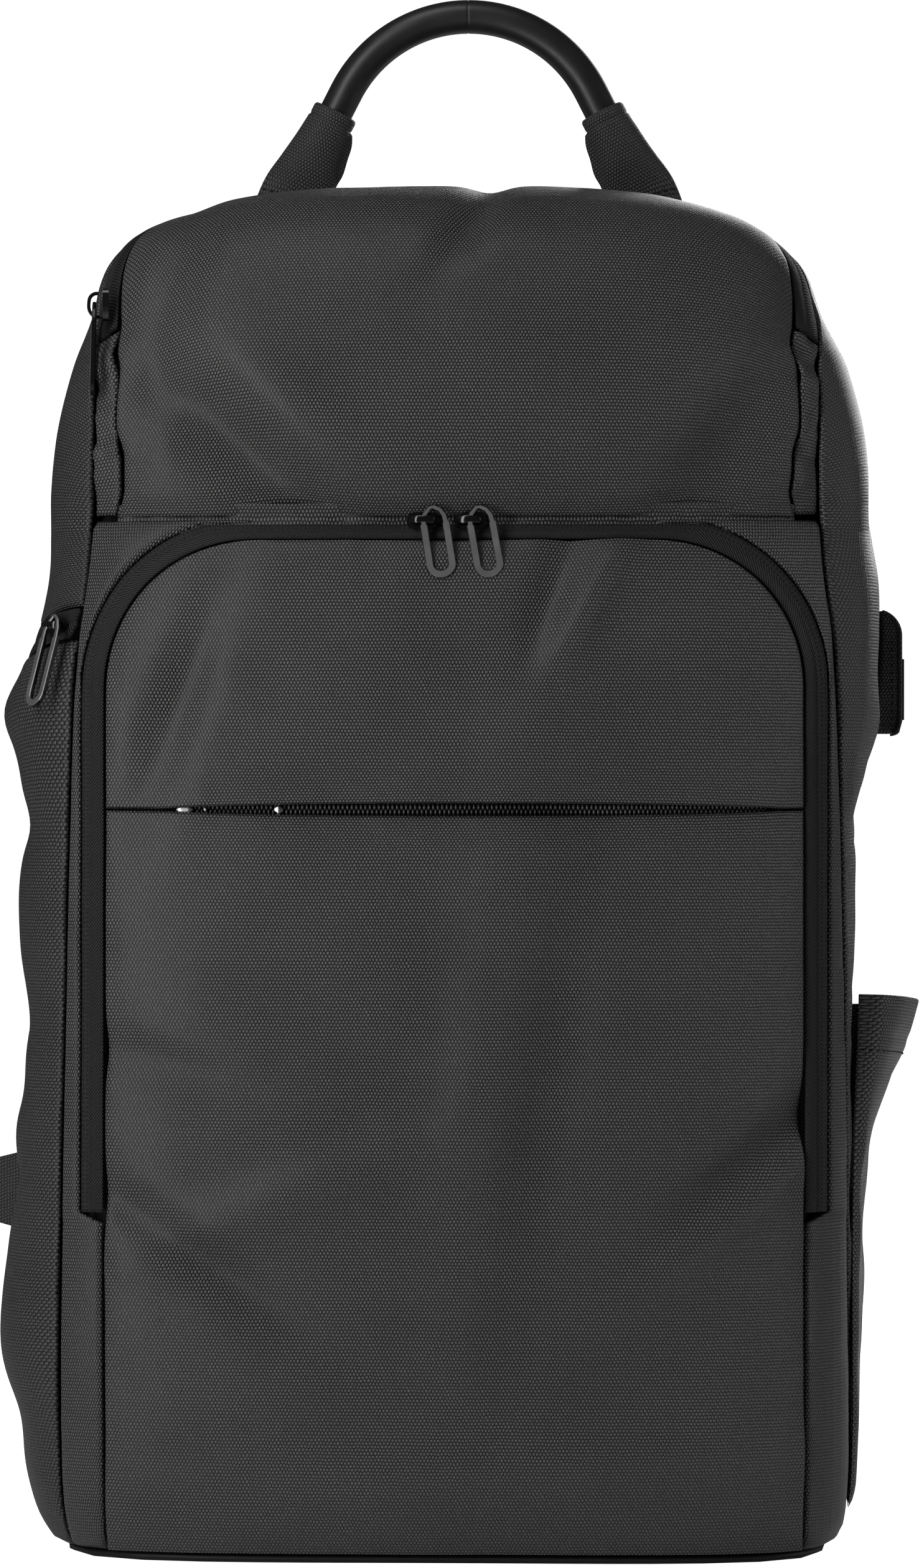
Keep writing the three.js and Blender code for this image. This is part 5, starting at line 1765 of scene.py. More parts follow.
@dataclass(frozen=True)
class Fob:
    """A slider and its pull.

    Attributes:
        name: Name of the pieces.
        nodes: Start of its CAD nodes' names.
        at: Seat on the zip.
        yaw: Turn about the upright in degrees.
        tip: Backward tip of the slider.
        lean: Lean out of the pull.
        swing: Sideways swing of the pull.
        long: Length of the pull.
        upright: Whether the zip runs upright.
        nose: Side of the slider's nose, 1 or -1 along the zip.
    """

    name: str
    nodes: str
    at: tuple
    yaw: float
    tip: float
    lean: float
    swing: float
    long: float
    upright: bool
    nose: int = 1


@dataclass
class Pulls:
    """Zip sliders with their loop pulls.

    Attributes:
        wardrobe: The finishes.
        half: Half length of a slider plate.
        high: Half height of a slider plate.
        deep: Thickness of a slider.
        wide: Width of a pull.
        leg: Width of its legs.
        thick: Thickness of a pull.
        chamfer: Width of a pull's chamfered edges.
    """

    wardrobe: Wardrobe
    half: float = 5.9
    high: float = 3.5
    deep: float = 2.1
    wide: float = 10.6
    leg: float = 2.65
    thick: float = 1.8
    chamfer: float = 0.3

    def seat(self, fob: Fob) -> Matrix:
        """Place of a fob: turned about the upright and set on its zip."""
        return Matrix.Translation(Vector(fob.at)) @ Matrix.Rotation(math.radians(fob.yaw), 4, "Z")

    def slider(self, fob: Fob) -> bpy.types.Object:
        """The slider: a dished leaf-shaped plate with a raised rim and a hooked bail."""
        bm = bmesh.new()
        made = bmesh.ops.create_circle(bm, cap_ends=True, segments=48, radius=1)
        for vert in made["verts"]:
            u, w = vert.co.x, vert.co.y
            power = 1.25 if u > 0 else 0.62
            body = abs(w) ** power * (1 if w > 0 else -1)
            vert.co = Vector((u * self.half, body * self.high * (1 - 0.12 * max(u, 0)), 0))
        rim = bmesh.ops.inset_region(bm, faces=bm.faces[:], thickness=0.42, depth=0.0)["faces"]
        inner = [f for f in bm.faces if f not in rim]
        wall = bmesh.ops.inset_region(bm, faces=inner, thickness=0.25, depth=-0.9)["faces"]
        dish = [f for f in bm.faces if f not in rim and f not in wall]
        bmesh.ops.inset_region(bm, faces=dish, thickness=1.1, depth=-0.1)
        edges = [e for e in bm.edges if e.is_boundary]
        down = bmesh.ops.extrude_edge_only(bm, edges=edges)["geom"]
        skirt = [g for g in down if isinstance(g, bmesh.types.BMVert)]
        bmesh.ops.translate(bm, verts=skirt, vec=(0, 0, -self.deep))
        bmesh.ops.holes_fill(bm, edges=[e for e in bm.edges if e.is_boundary], sides=0)
        bmesh.ops.translate(bm, verts=bm.verts, vec=(0, 0, self.deep))
        self.bail(bm, fob.upright)
        if fob.nose < 0:
            bmesh.ops.scale(bm, verts=bm.verts, vec=(-1, 1, 1))
        bmesh.ops.recalc_face_normals(bm, faces=bm.faces)
        bmesh.ops.rotate(bm, verts=bm.verts, cent=(0, 0, 0), matrix=Matrix.Rotation(math.pi / 2, 3, "X"))
        if fob.upright:
            bmesh.ops.rotate(bm, verts=bm.verts, cent=(0, 0, 0), matrix=Matrix.Rotation(math.pi / 2, 3, "Y"))
        move = self.seat(fob) @ Matrix.Rotation(math.radians(-fob.tip * 0.4), 4, "X")
        bmesh.ops.transform(bm, matrix=Matrix.Scale(MM, 4) @ move, verts=bm.verts)
        return publish(bm, f"{fob.name}Slider", self.wardrobe[Finish.SLIDER],
                       [f"{fob.nodes}_slider"], crisp=38)

    def bail(self, bm: bmesh.types.BMesh, tall: bool) -> None:
        """Adds the hook that holds the pull: it rises at the nose and ends over the rear."""
        high = 1.0 if tall else 0.72
        route = [(4.2, 0, 0.8), (4.3, 0, 2.4 * high), (3.8, 0, 4.5 * high), (2.2, 0, 5.8 * high),
                 (-0.6, 0, 6.1 * high), (-2.8, 0, 5.6 * high), (-4.0, 0, 4.1 * high), (-4.1, 0, 2.6)]
        taper = np.interp(np.arange(22), [0, 4, 17, 21], [1.7, 1.35, 1.25, 1.0])
        rings = swept(smooth_path(route, 22), (0, 1, 0), outline_ring(12, 5), taper, 0.62)
        join(bm, ring_loft(rings / MM))

    def loop(self, long: float) -> np.ndarray:
        """Middle line of a pull's loop with leg width and thickness, from the left joint round."""
        side = (self.wide - self.leg) / 2
        top, low = -0.27 * long, -long + self.wide / 2
        rows = [(-side, top - k * (top - low) / 6, self.leg, self.thick) for k in range(7)]
        turn = np.radians(np.linspace(180, 360, 15)[1:-1])
        rows += [(side * math.cos(a), low + side * math.sin(a), self.leg, self.thick) for a in turn]
        rows += [(side, low + k * (top - low) / 6, self.leg, self.thick) for k in range(7)]
        neck = self.leg * 0.74
        rows += [(side - 0.02, top + 0.15, self.leg, self.thick), (side - 0.05, top + 0.3, neck, 1.5),
                 (side - 0.3, top * 0.62, neck * 0.92, 1.4), (side - 1.5, top * 0.3, neck * 0.8, 1.4),
                 (side - 3.4, -0.9, neck * 0.7, 1.3), (-side + 3.2, -0.9, neck * 0.7, 1.3),
                 (-side + 1.0, top * 0.4, neck * 0.8, 1.4), (-side + 0.1, top * 0.66, neck * 0.92, 1.5),
                 (-side + 0.05, top + 0.3, neck, 1.5), (-side + 0.02, top + 0.15, self.leg, self.thick)]
        return np.array(rows)

    def pull(self, fob: Fob) -> bpy.types.Object:
        """The pull: a flat loop with chamfered edges, a joint across each leg and a thin top."""
        rows = self.loop(fob.long)
        way = np.roll(rows[:, :2], -1, axis=0) - np.roll(rows[:, :2], 1, axis=0)
        way /= np.linalg.norm(way, axis=-1, keepdims=True)
        side = np.column_stack([way[:, 1], -way[:, 0]])
        c = self.chamfer
        shape = [(1, -1, 0, c), (1, 1, 0, -c), (1, 1, -c, 0), (-1, 1, c, 0),
                 (-1, 1, 0, -c), (-1, -1, 0, c), (-1, -1, c, 0), (1, -1, -c, 0)]
        count = len(rows)
        rings = np.zeros((count + 1, len(shape), 3))
        face = np.zeros(len(shape))
        for j, (sx, sy, dx, dy) in enumerate(shape):
            across = sx * rows[:, 2] / 2 + dx
            depth = sy * rows[:, 3] / 2 + dy
            place = rows[:, :2] + side * across[:, None]
            rings[:count, j] = np.column_stack([place[:, 0], depth, place[:, 1]])
            face[j] = 1.0 if (sy < 0 and dy == 0) else 0.0
        rings[count] = rings[0]
        bm = ring_loft(rings, caps=False)
        layer = bm.verts.layers.float_vector[CLOTH_LAYER]
        shallow = -min(r[3] for r in rows) / 2 * MM * 0.95
        for vert in bm.verts:
            vert[layer] = Vector((0, 0, 1.0 if vert.co.y < shallow and self.on_face(vert, rings) else 0.0))
        top = 1.2 if fob.upright else 4.3 + 5.4 * math.sin(math.radians(fob.tip))
        off = 0.0 if fob.upright else self.wide / 2 - self.leg / 2
        move = (self.seat(fob) @ Matrix.Translation((off, -4.1, 0))
                @ Matrix.Rotation(math.radians(-fob.lean), 4, "X")
                @ Matrix.Rotation(math.radians(fob.swing), 4, "Y") @ Matrix.Translation((0, 0, top)))
        scale = Matrix.Scale(MM, 4) @ move @ Matrix.Scale(1 / MM, 4)
        bmesh.ops.transform(bm, matrix=scale, verts=bm.verts)
        return publish(bm, f"{fob.name}Pull", self.wardrobe[Finish.PULL],
                       [f"{fob.nodes}_pull"], crisp=30)

    @staticmethod
    def on_face(vert: bmesh.types.BMVert, rings: np.ndarray) -> bool:
        """Whether a point lies on the flat front face of a pull."""
        here = np.array(vert.co) / MM
        near = np.argmin(np.sum((rings.reshape(-1, 3) - here) ** 2, axis=1))
        return near % rings.shape[1] in (6, 7)

    def build(self) -> None:
        """Builds the four sliders and pulls."""
        over = ARCH.top + TAPE_WIDE / 2 + 2.2

        def on_tape(x: float, z: float, lift: float) -> tuple:
            """Place on the front skin, lifted off it."""
            p = BODY.on_front(np.array(x), np.array(z))
            return tuple(p + BODY.outward(p) * lift)

        beside = CROWN.half + TAPE_WIDE / 2 + 0.1
        crown = BODY.on_front(np.array(-beside), np.array(CREASE_Z + 77.0)) + np.array([0, -7.2, 0])
        fobs = [
            Fob("FrontZipA", "front_zip_a", on_tape(-11, over, 0.9), 0, 18, 15, -9, 27.5, False, 1),
            Fob("FrontZipB", "front_zip_b", on_tape(5.5, over, 0.9), 0, 18, 15, -10, 27.5, False, -1),
            Fob("CrownZip", "crown_zip", tuple(crown), -86, 0, 1, -15, 35, True, 1),
            Fob("SideZip", "side_zip", on_tape(-142, 333, 1.1), -50, 0, 18, -2, 35, False, 1),
        ]
        for fob in fobs:
            self.slider(fob)
            self.pull(fob)


@dataclass
class SlitZip:
    """The zip behind the slit pocket: a dark tape, two rows of coil and its slider.

    Attributes:
        wardrobe: The finishes.
        depth: Depth of the tape behind the skin.
        pitch: Pitch of the coil.
        from_x: Left end of the coil.
        to_x: Right end of the coil.
    """

    wardrobe: Wardrobe
    depth: float = 4.4
    pitch: float = 1.6
    from_x: float = -92.0
    to_x: float = 112.0

    def place(self, x: np.ndarray, off: np.ndarray, lift: float) -> np.ndarray:
        """Points behind the slit at a place across, a height off its middle and a lift."""
        p = BODY.on_front(x, SLIT_Z + off)
        return p + BODY.outward(p) * (lift - self.depth)

    def tape(self) -> bpy.types.Object:
        """The tape that the coil is woven to."""
        x, off = np.meshgrid(np.linspace(-119, 119, 90), np.linspace(-8, 8, 9))
        points = self.place(x, off, 0.0)
        bm = cloth_mesh(Weft(points, x, off + 4.3), 1.0)
        return publish(bm, "SlitZipTape", self.wardrobe.chevron, ["slit_zip"])

    def coil(self) -> bpy.types.Object:
        """Two staggered rows of round coil turns."""
        bm = bmesh.new()
        for row, off in ((0, 0.85), (1, -0.85)):
            xs = np.arange(self.from_x + row * self.pitch / 2, self.to_x, self.pitch)
            spots = self.place(xs, np.full_like(xs, off), 0.75)
            for spot in spots:
                size = Matrix.Diagonal((0.52, 0.75, 1.05, 1))
                bmesh.ops.create_uvsphere(bm, u_segments=8, v_segments=5, radius=1,
                                          matrix=Matrix.Translation(Vector(spot)) @ size)
        bmesh.ops.scale(bm, verts=bm.verts, vec=(MM, MM, MM))
        return publish(bm, "SlitZipCoil", self.wardrobe[Finish.COIL])

    def plate(self, name: str, spans: list[tuple], finish: Finish, node: str) -> bpy.types.Object:
        """Small curved plates in the slit, one for each span of (from x, to x, half height, lift)."""
        bm = bmesh.new()
        for low, high, half, lift in spans:
            path = np.linspace(low, high, 10)
            middle = self.place(path, 0 * path, lift)
            ring = outline_ring(16, 4)
            taper = np.minimum(1, 0.25 + np.minimum(path - low, high - path) / max(half, 0.5))
            tall = ring[None, :, :1] * half * taper[:, None, None] * np.array([0, 0, 1.0])
            thick = ring[None, :, 1:] * 0.45 * taper[:, None, None] * np.array([0, 1.0, 0])
            join(bm, ring_loft(middle[:, None] + tall + thick))
        return publish(bm, name, self.wardrobe[finish], [node], crisp=40)

    def build(self) -> None:
        """Builds the whole zip."""
        self.tape()
        self.coil()
        self.plate("SlitSlider", [(-98.5, -92.6, 1.3, 2.6), (-88.6, -87.6, 1.5, 2.6)],
                   Finish.STEEL, "slit_slider")
        self.plate("SlitSliderPull", [(-63.4, -60.4, 1.9, 2.4)], Finish.STEEL, "slit_slider_pull")


@dataclass
class Outlet:
    """The power outlet's flap on the right side with its piped edge and its socket plate.

    Attributes:
        wardrobe: The finishes.
        low: Height of its lower end.
        high: Height of its upper end.
        out: How far out it reaches.
        y: Its depth.
        wide: Width from front to back.
        bend: Radius of its upper outer corner.
    """

    wardrobe: Wardrobe
    low: float = 295
    high: float = 340
    out: float = 161.2
    y: float = 23
    wide: float = 22
    bend: float = 9

    def edge(self, z: np.ndarray) -> np.ndarray:
        """How far out the flap reaches at a height."""
        over = np.clip(z - (self.high - self.bend), 0, self.bend)
        under = np.clip(self.low + 3 - z, 0, 3)
        return (self.out - self.bend + np.sqrt(self.bend**2 - over**2)
                - 3 + np.sqrt(np.maximum(9 - under**2, 0)))

    def seat(self, z: np.ndarray) -> np.ndarray:
        """Where the flap meets the side at a height."""
        return BODY.on_side(1, self.y, z)[..., 0] + SEAM

    def build(self) -> None:
        """Builds the flap, its piping, its stitches and the plate."""
        turn = np.linspace(0, math.pi / 2, 12)
        z = np.concatenate([
            self.low + 3 - 3 * np.cos(turn[:6]), np.linspace(self.low + 4.5, self.high - self.bend, 16),
            self.high - self.bend + self.bend * np.sin(turn[1:-1]), [self.high - 0.05],
        ])
        inner, outer = self.seat(z), np.maximum(self.edge(z), self.seat(z) + 1.5)
        ring = outline_ring(56, 5)
        tuck = np.clip((z - self.high + 1.5) / 1.5, 0, 1) + np.clip((self.low + 1.2 - z) / 1.2, 0, 1)
        swell = 0.25 * value_noise(z, 0 * z, 9, 141)
        middle = np.stack([(inner + outer) / 2, 0 * z + self.y, z], -1)
        wide = (outer - inner) / 2
        deep = self.wide / 2 - 1.4 * tuck + swell
        rings = middle[:, None] + np.stack([
            ring[None, :, 0] * wide[:, None], ring[None, :, 1] * deep[:, None],
            np.zeros((len(z), len(ring))),
        ], -1)
        publish(ring_loft(rings), "UsbFlap", self.wardrobe[Finish.STRAP], ["usb_tab"])
        self.piping(z, outer)
        face = self.y - self.wide / 2 - 0.15
        low = np.linspace(inner[4] + 1.5, self.out - 2, 12)
        rows = [np.column_stack([low, 0 * low + face, 0 * low + self.low + 3.0])]
        tall = np.linspace(self.low + 4, self.high - self.bend, 20)
        rows.append(np.column_stack([0 * tall + self.out - 3.2, 0 * tall + face, tall]))
        Stitching(self.wardrobe, 1.8, 2.8, 0.45).sew("UsbStitches", rows)
        self.plate()

    def piping(self, z: np.ndarray, outer: np.ndarray) -> None:
        """The piped edge round the flap's outer end, front and back."""
        bm = bmesh.new()
        for side in (-1, 1):
            path = np.column_stack([outer - 0.5, 0 * z + self.y + side * (self.wide / 2 - 0.5), z])
            join(bm, ring_loft(swept(path, (0, 1, 0), outline_ring(10, 2) * 0.85)))
        publish(bm, "UsbPiping", self.wardrobe[Finish.WEBBING])

    def plate(self) -> None:
        """The socket plate with its sunk opening."""
        bm = bmesh.new()
        bmesh.ops.create_cube(bm, size=1, matrix=Matrix.Diagonal((0.9, 11, 22.5, 1)))
        bmesh.ops.bevel(bm, geom=bm.edges[:], offset=0.3, segments=2, profile=0.5, affect="EDGES",
                        material=-1)
        outer = [f for f in bm.faces if f.normal.x > 0.99]
        bmesh.ops.inset_region(bm, faces=outer, thickness=1.5)
        bmesh.ops.inset_region(bm, faces=outer, thickness=0.25, depth=-0.6)
        centre = (self.out + 0.75, self.y, self.low + 16.25)
        bmesh.ops.translate(bm, verts=bm.verts, vec=centre)
        bmesh.ops.scale(bm, verts=bm.verts, vec=(MM, MM, MM))
        publish(bm, "UsbPlate", self.wardrobe[Finish.OUTLET], ["usb_plate"], crisp=40)


class PocketRow(NamedTuple):
    """One level of the bottle pocket and how far it stands off the side."""

    z: float
    stand: float


POCKET_ROWS = [
    PocketRow(16, 0.2), PocketRow(50, 0.5), PocketRow(95, 1.3), PocketRow(130, 2.8),
    PocketRow(150, 5.8), PocketRow(168, 12.4), PocketRow(184, 19), PocketRow(196, 22.5),
]


@dataclass
class BottlePocket:
    """The open bottle pocket on the right side, one cloth with a folded hem.

    Attributes:
        wardrobe: The finishes.
        front: Depth of its front edge.
        back: Depth of its rear edge.
        thick: Thickness of the cloth.
    """

    wardrobe: Wardrobe
    front: float = -34
    back: float = 50
    thick: float = 1.5

    def surface(self, z: np.ndarray, stand: np.ndarray, v: np.ndarray, lift: float) -> np.ndarray:
        """Points of the cloth at levels and shares across, at a lift off its inner face."""
        high = np.clip((z - 120) / 76, 0, None)[:, None]
        level = z[:, None] + 4 * (1 - 1.6 * v[None]) * high
        y = self.front + (self.back - self.front) * v[None] + 0 * level
        skin = BODY.on_side(1, y, level)
        bow = np.sqrt(np.clip(np.sin(np.pi * (v * 0.92 + 0.04)) - 0.1, 0, 1))
        edge = np.clip(np.minimum(v, 1 - v) / 0.035, 0, 1)
        foot = np.clip((z - 16) / 7, 0, 1)[:, None]
        hold = 0.3 + 0.7 * np.sqrt(edge[None] * foot)
        fold = 0.8 * value_noise(y, level, 17, 151) + 1.1 * np.exp(-((y - 6 - 0.3 * (level - 120)) / 7) ** 2)
        rise = (0.7 + stand[:, None] * bow[None] + lift) * hold
        rise = rise + fold * edge[None] * np.clip((z - 30) / 60, 0, 1)[:, None]
        return skin + BODY.outward(skin) * rise[..., None]

    def build(self) -> None:
        """Builds the pocket and the stitches of its hem."""
        table = smooth_path([(0, 0, r.z, r.stand) for r in POCKET_ROWS], 70)[:, 2:]
        v = spread(84, 2.4, (0, 0.8, 1.8, 3.0))
        outer = self.surface(table[:, 0], table[:, 1], v, self.thick)
        inner = self.surface(table[:, 0], table[:, 1], v, 0.0)
        top = (outer[-1] + inner[-1]) / 2
        across = (outer[-1] - inner[-1]) / 2
        bend = [top + across * math.cos(t) + np.array([0, 0, 0.9]) * math.sin(t)
                for t in np.linspace(0, math.pi, 9)[1:-1]]
        points = np.concatenate([outer, np.array(bend), inner[::-1]])
        up = length_along(points[:, len(v) // 2])[:, None] + 0 * points[..., 0]
        hem = up[len(outer)] - up
        points[..., 0] -= 0.35 * np.exp(-((hem - 14) / 0.9) ** 2)
        weft = Weft(points, points[..., 1], up)
        bm = cloth_mesh(weft, 0.0)
        piece = publish(bm, "BottlePocket", self.wardrobe[Finish.CLOTH], ["bottle_pocket"])
        shell = Weft(outer, outer[..., 1], up[: len(outer)])
        declare(shell, 2.0)
        line = outer[-8] + np.array([0.25, -0.1, 0])
        Stitching(self.wardrobe).sew("PocketStitches", [line])


def declare(weft: Weft, faces: float = 1.0,
            hem: float = 0.0) -> None:
    """Works out the width, height and area that a piece of cloth was cut to, and keeps none of them.

    Args:
        weft: The cloth as it lies.
        faces: How many layers the piece has.
        hem: Width of the turned-in edges.
    """
    rows = np.linalg.norm(np.diff(weft.points, axis=1), axis=-1).sum(axis=1)
    columns = np.linalg.norm(np.diff(weft.points, axis=0), axis=-1).sum(axis=0)
    wide = (float(rows.max()) + 2 * hem) * MM
    tall = (float(columns.max()) * faces + 2 * hem) * MM
    one = np.cross(weft.points[1:, 1:] - weft.points[:-1, :-1], weft.points[1:, :-1] - weft.points[:-1, 1:])
    area = (float(np.linalg.norm(one, axis=-1).sum()) / 2 * faces
            + 2 * hem * float(rows.mean() + columns.mean())) * MM**2
    area = float(np.clip(area, 0.3 * wide * tall, wide * tall))


class StrapRow(NamedTuple):
    """One section of a shoulder strap."""

    x: float
    y: float
    z: float
    wide: float
    thick: float


STRAP_ROWS = [
    StrapRow(52, -9.8, 447, 56, 3.5), StrapRow(53, -2, 440, 58, 5.5), StrapRow(55, 12, 428, 61, 9),
    StrapRow(60, 33, 400, 62, 10), StrapRow(67, 46, 355, 62, 10), StrapRow(78, 50, 305, 61, 10),
    StrapRow(90, 46, 255, 58, 10), StrapRow(103, 37, 212, 52, 9), StrapRow(115, 27, 178, 42, 7),
    StrapRow(120.6, 21, 159, 33, 4), StrapRow(123.8, 20, 151.95, 30, 3.2),
]


@dataclass
class Padding:
    """Foam under cloth, swollen by a cloth simulation.

    Attributes:
        wardrobe: The finishes.
        step: Spacing of the back's grid.
        pressure: Pressure of the foam.
        frames: Length of the simulation.
        fill: How tight the pads are filled; not used.
        top: Level of the back's upper seam.
        sewn_half: Place of the outer sewn lines across.
        sewn_low: Level of the lowest sewn line.
        sewn_top: Level of the highest one.
        channel: Half width of the air channel.
        rung: Pitch of the slanting lines.
        rung_low: Level of the first one at the channel.
    """

    wardrobe: Wardrobe
    step: float = 5.0
    pressure: float = 4.0
    frames: int = 16
    fill: float = 0.6
    top: float = 442
    sewn_half: float = 122
    sewn_low: float = 30
    sewn_top: float = 418
    channel: float = 17
    rung: float = 74
    rung_low: float = 62

    def start(self, rings: np.ndarray, caps: bool) -> bpy.types.Object:
        """An object with a closed skin through rings of points."""
        return placed("PadStart", as_mesh(ring_loft(rings, caps), "PadStart"))

    @staticmethod
    def bake(pad: bpy.types.Object) -> None:
        """Applies the object's modifiers to its mesh."""
        graph = bpy.context.evaluated_depsgraph_get()
        mesh = bpy.data.meshes.new_from_object(pad.evaluated_get(graph))
        old = pad.data
        pad.modifiers.clear()
        pad.data = mesh
        bpy.data.meshes.remove(old)

    def swell(self, pad: bpy.types.Object, held: Callable, cap: float) -> None:
        """Runs the simulation and applies it, with no point moved further than the cap."""
        start = mesh_points(pad.data)
        group = pad.vertex_groups.new(name="Held")
        fixed = np.nonzero(held(start / MM))[0].tolist()
        group.add(fixed, 1.0, "REPLACE")
        cloth = pad.modifiers.new("Cloth", "CLOTH")
        cloth.settings.vertex_group_mass = "Held"
        cloth.settings.use_pressure = True
        cloth.settings.uniform_pressure_force = self.pressure
        cloth.settings.effector_weights.gravity = 0
        cloth.settings.quality = 4
        cloth.point_cache.frame_start = 1
        cloth.point_cache.frame_end = self.frames + 1
        for step in range(1, self.frames + 1):
            bpy.context.scene.frame_set(step)
        self.bake(pad)
        pad.vertex_groups.clear()
        bpy.context.scene.frame_set(1)
        moved = mesh_points(pad.data) - start
        far = np.linalg.norm(moved, axis=1, keepdims=True)
        moved *= np.minimum(1, cap * MM / np.maximum(far, 1e-9))
        place_points(pad.data, start + moved)

    def finish(self, pad: bpy.types.Object, name: str, node: str, dress: Finish, shape: Callable) -> None:
        """Subdivides a pad, presses its sewn lines in and publishes it.

        Args:
            pad: The swollen pad.
            name: Name of the piece.
            node: CAD node that it stands for.
            dress: Its finish.
            shape: Function from points and normals in millimetres to a depth.
        """
        bm = bmesh.new()
        bm.from_mesh(pad.data)
        old = pad.data
        bpy.data.objects.remove(pad)
        bpy.data.meshes.remove(old)
        bmesh.ops.smooth_vert(bm, verts=bm.verts, factor=0.5, use_axis_x=True, use_axis_y=True,
                              use_axis_z=True)
        bmesh.ops.subdivide_edges(bm, edges=bm.edges[:], cuts=1, use_grid_fill=True, smooth=0.6)
        bm.normal_update()
        points = np.array([v.co[:] for v in bm.verts]) / MM
        normals = np.array([v.normal[:] for v in bm.verts])
        depth = shape(points, normals)
        for vert, down in zip(bm.verts, depth):
            vert.co -= vert.normal * float(down) * MM
        piece = publish(bm, name, self.wardrobe[dress], [node])

    def back_panel(self) -> None:
        """The padded back with its air channel and its sewn lines."""
        slice_y = BACK_SEAM_Y + SEAM
        u, v = spread(300, self.step) * 2 - 1, spread(450, self.step, (0, 1.2, 2.6, 4.2, 6))
        z = FOOT_Z + v * (self.top - FOOT_Z)
        bend = self.top - 107

        def edge(level: np.ndarray, side: int) -> np.ndarray:
            """How far out the seam lies at a level."""
            return np.abs(BODY.on_side(side, slice_y, level)[..., 0])

        half = np.where(u[None] < 0, edge(z, -1)[:, None], edge(z, 1)[:, None])
        x = u[None] * half
        last = u * half[-1]
        start = np.stack([last, 0 * last + slice_y, 0 * last + 100], -1)
        roof = BODY.reach(start, np.array([0, 0, 1.0]), 400)[:, 2]
        lift = np.clip((z - bend) / (self.top - bend), 0, 1)[:, None] ** 2
        height = z[:, None] + lift * (roof[None] - self.top)
        skin = BODY.on_back(x, height)
        normals = BODY.outward(skin)
        full = np.sqrt(np.clip(1 - u[None] ** 8, 0, 1) * np.clip(1 - (2 * v[:, None] - 1) ** 16, 0, 1))
        face = skin + normals * (Panels.pillow(u[None], v[:, None], 2.0) - 0.6)[..., None]
        inner = face - normals * (9 * full)[..., None]
        pad = self.start(np.concatenate([face, inner[:, ::-1]], axis=1), False)
        rim = float(np.max(inner[:, len(u) // 2, 1])) + 3.5

        def held(points: np.ndarray) -> np.ndarray:
            """The edge and the face towards the bag stay put."""
            return (points[:, 1] < rim) | (points[:, 2] > 425) | (points[:, 2] < 18)

        self.swell(pad, held, 5.0)
        self.finish(pad, "BackPanel", "back_panel", Finish.BACK, self.sewn)

    def sewn(self, points: np.ndarray, normals: np.ndarray) -> np.ndarray:
        """Depth of the back's sewn lines and air channel on the side that faces the wearer.

        Args:
            points: Points of the pad in millimetres.
            normals: Their unit normals.

        Returns:
            Depths in millimetres.
        """
        x, z = np.abs(points[:, 0]), points[:, 2]
        wide = 2.4
        tall = (z > self.sewn_low) & (z < self.sewn_top)
        inside = (x < self.sewn_half) & tall
        lines = np.exp(-((x - self.channel) / 2.6) ** 2) * ((z > self.sewn_low + 10) & (z < self.sewn_top))
        half = self.rung / 2
        slant = np.abs((z + (x - self.channel) * 0.28 - self.rung_low) % self.rung - half)
        lines = np.maximum(lines, np.exp(-((half - slant) / wide) ** 2) * (x > self.channel) * inside)
        lines = np.maximum(lines, np.exp(-((x - self.sewn_half) / wide) ** 2) * tall)
        ends = np.minimum(np.abs(z - self.sewn_low), np.abs(z - self.sewn_top))
        lines = np.maximum(lines, np.exp(-(ends / wide) ** 2) * (x < self.sewn_half))
        sunk = 0.8 * (x < self.channel - 2) * inside
        facing = np.clip((normals[:, 1] - 0.6) * 3, 0, 1)
        return facing * (3.0 * lines + sunk)

    def strap(self, side: int) -> None:
        """One shoulder strap with its bound edge."""
        word = side_word(side)
        table = [(side * r.x, BACK_FACE + 3.4 + r.y, r.z, r.wide, r.thick) for r in STRAP_ROWS]
        rows = smooth_path(table, 92)
        pad = self.start(swept(rows[:, :3], (1, 0, side * 0.25), outline_ring(44, 3.2), rows[:, 3] / 2,
                               rows[:, 4] / 2 - 0.3), True)

        def held(points: np.ndarray) -> np.ndarray:
            """Both ends stay put."""
            return (points[:, 2] > 438) | (points[:, 2] < 168)

        self.swell(pad, held, 3.0)
        level = rows[::-1, 2]

        def bound(points: np.ndarray, normals: np.ndarray) -> np.ndarray:
            """Depth of the groove beside the binding."""
            middle = np.interp(points[:, 2], level, rows[::-1, 0])
            half = np.interp(points[:, 2], level, rows[::-1, 3]) / 2
            edge = half - np.abs(points[:, 0] - middle)
            binding = 6.5
            groove = 1.3 * np.exp(-((edge - binding) / 1.6) ** 2)
            return (groove + 0.5 * (edge < binding)) * (np.abs(normals[:, 1]) > 0.35)

        self.finish(pad, f"ShoulderStrap{word}", f"shoulder_strap_{word.lower()}", Finish.STRAP, bound)

    def build(self) -> None:
        """Builds the back and both straps."""
        self.back_panel()
        for side in (-1, 1):
            self.strap(side)


def mesh_points(mesh: bpy.types.Mesh) -> np.ndarray:
    """The mesh's points as an array of shape (count, 3)."""
    flat = np.zeros(len(mesh.vertices) * 3)
    mesh.vertices.foreach_get("co", flat)
    return flat.reshape(-1, 3)


def place_points(mesh: bpy.types.Mesh, points: np.ndarray) -> None:
    """Moves the mesh's points."""
    mesh.vertices.foreach_set("co", points.ravel())
    mesh.update()


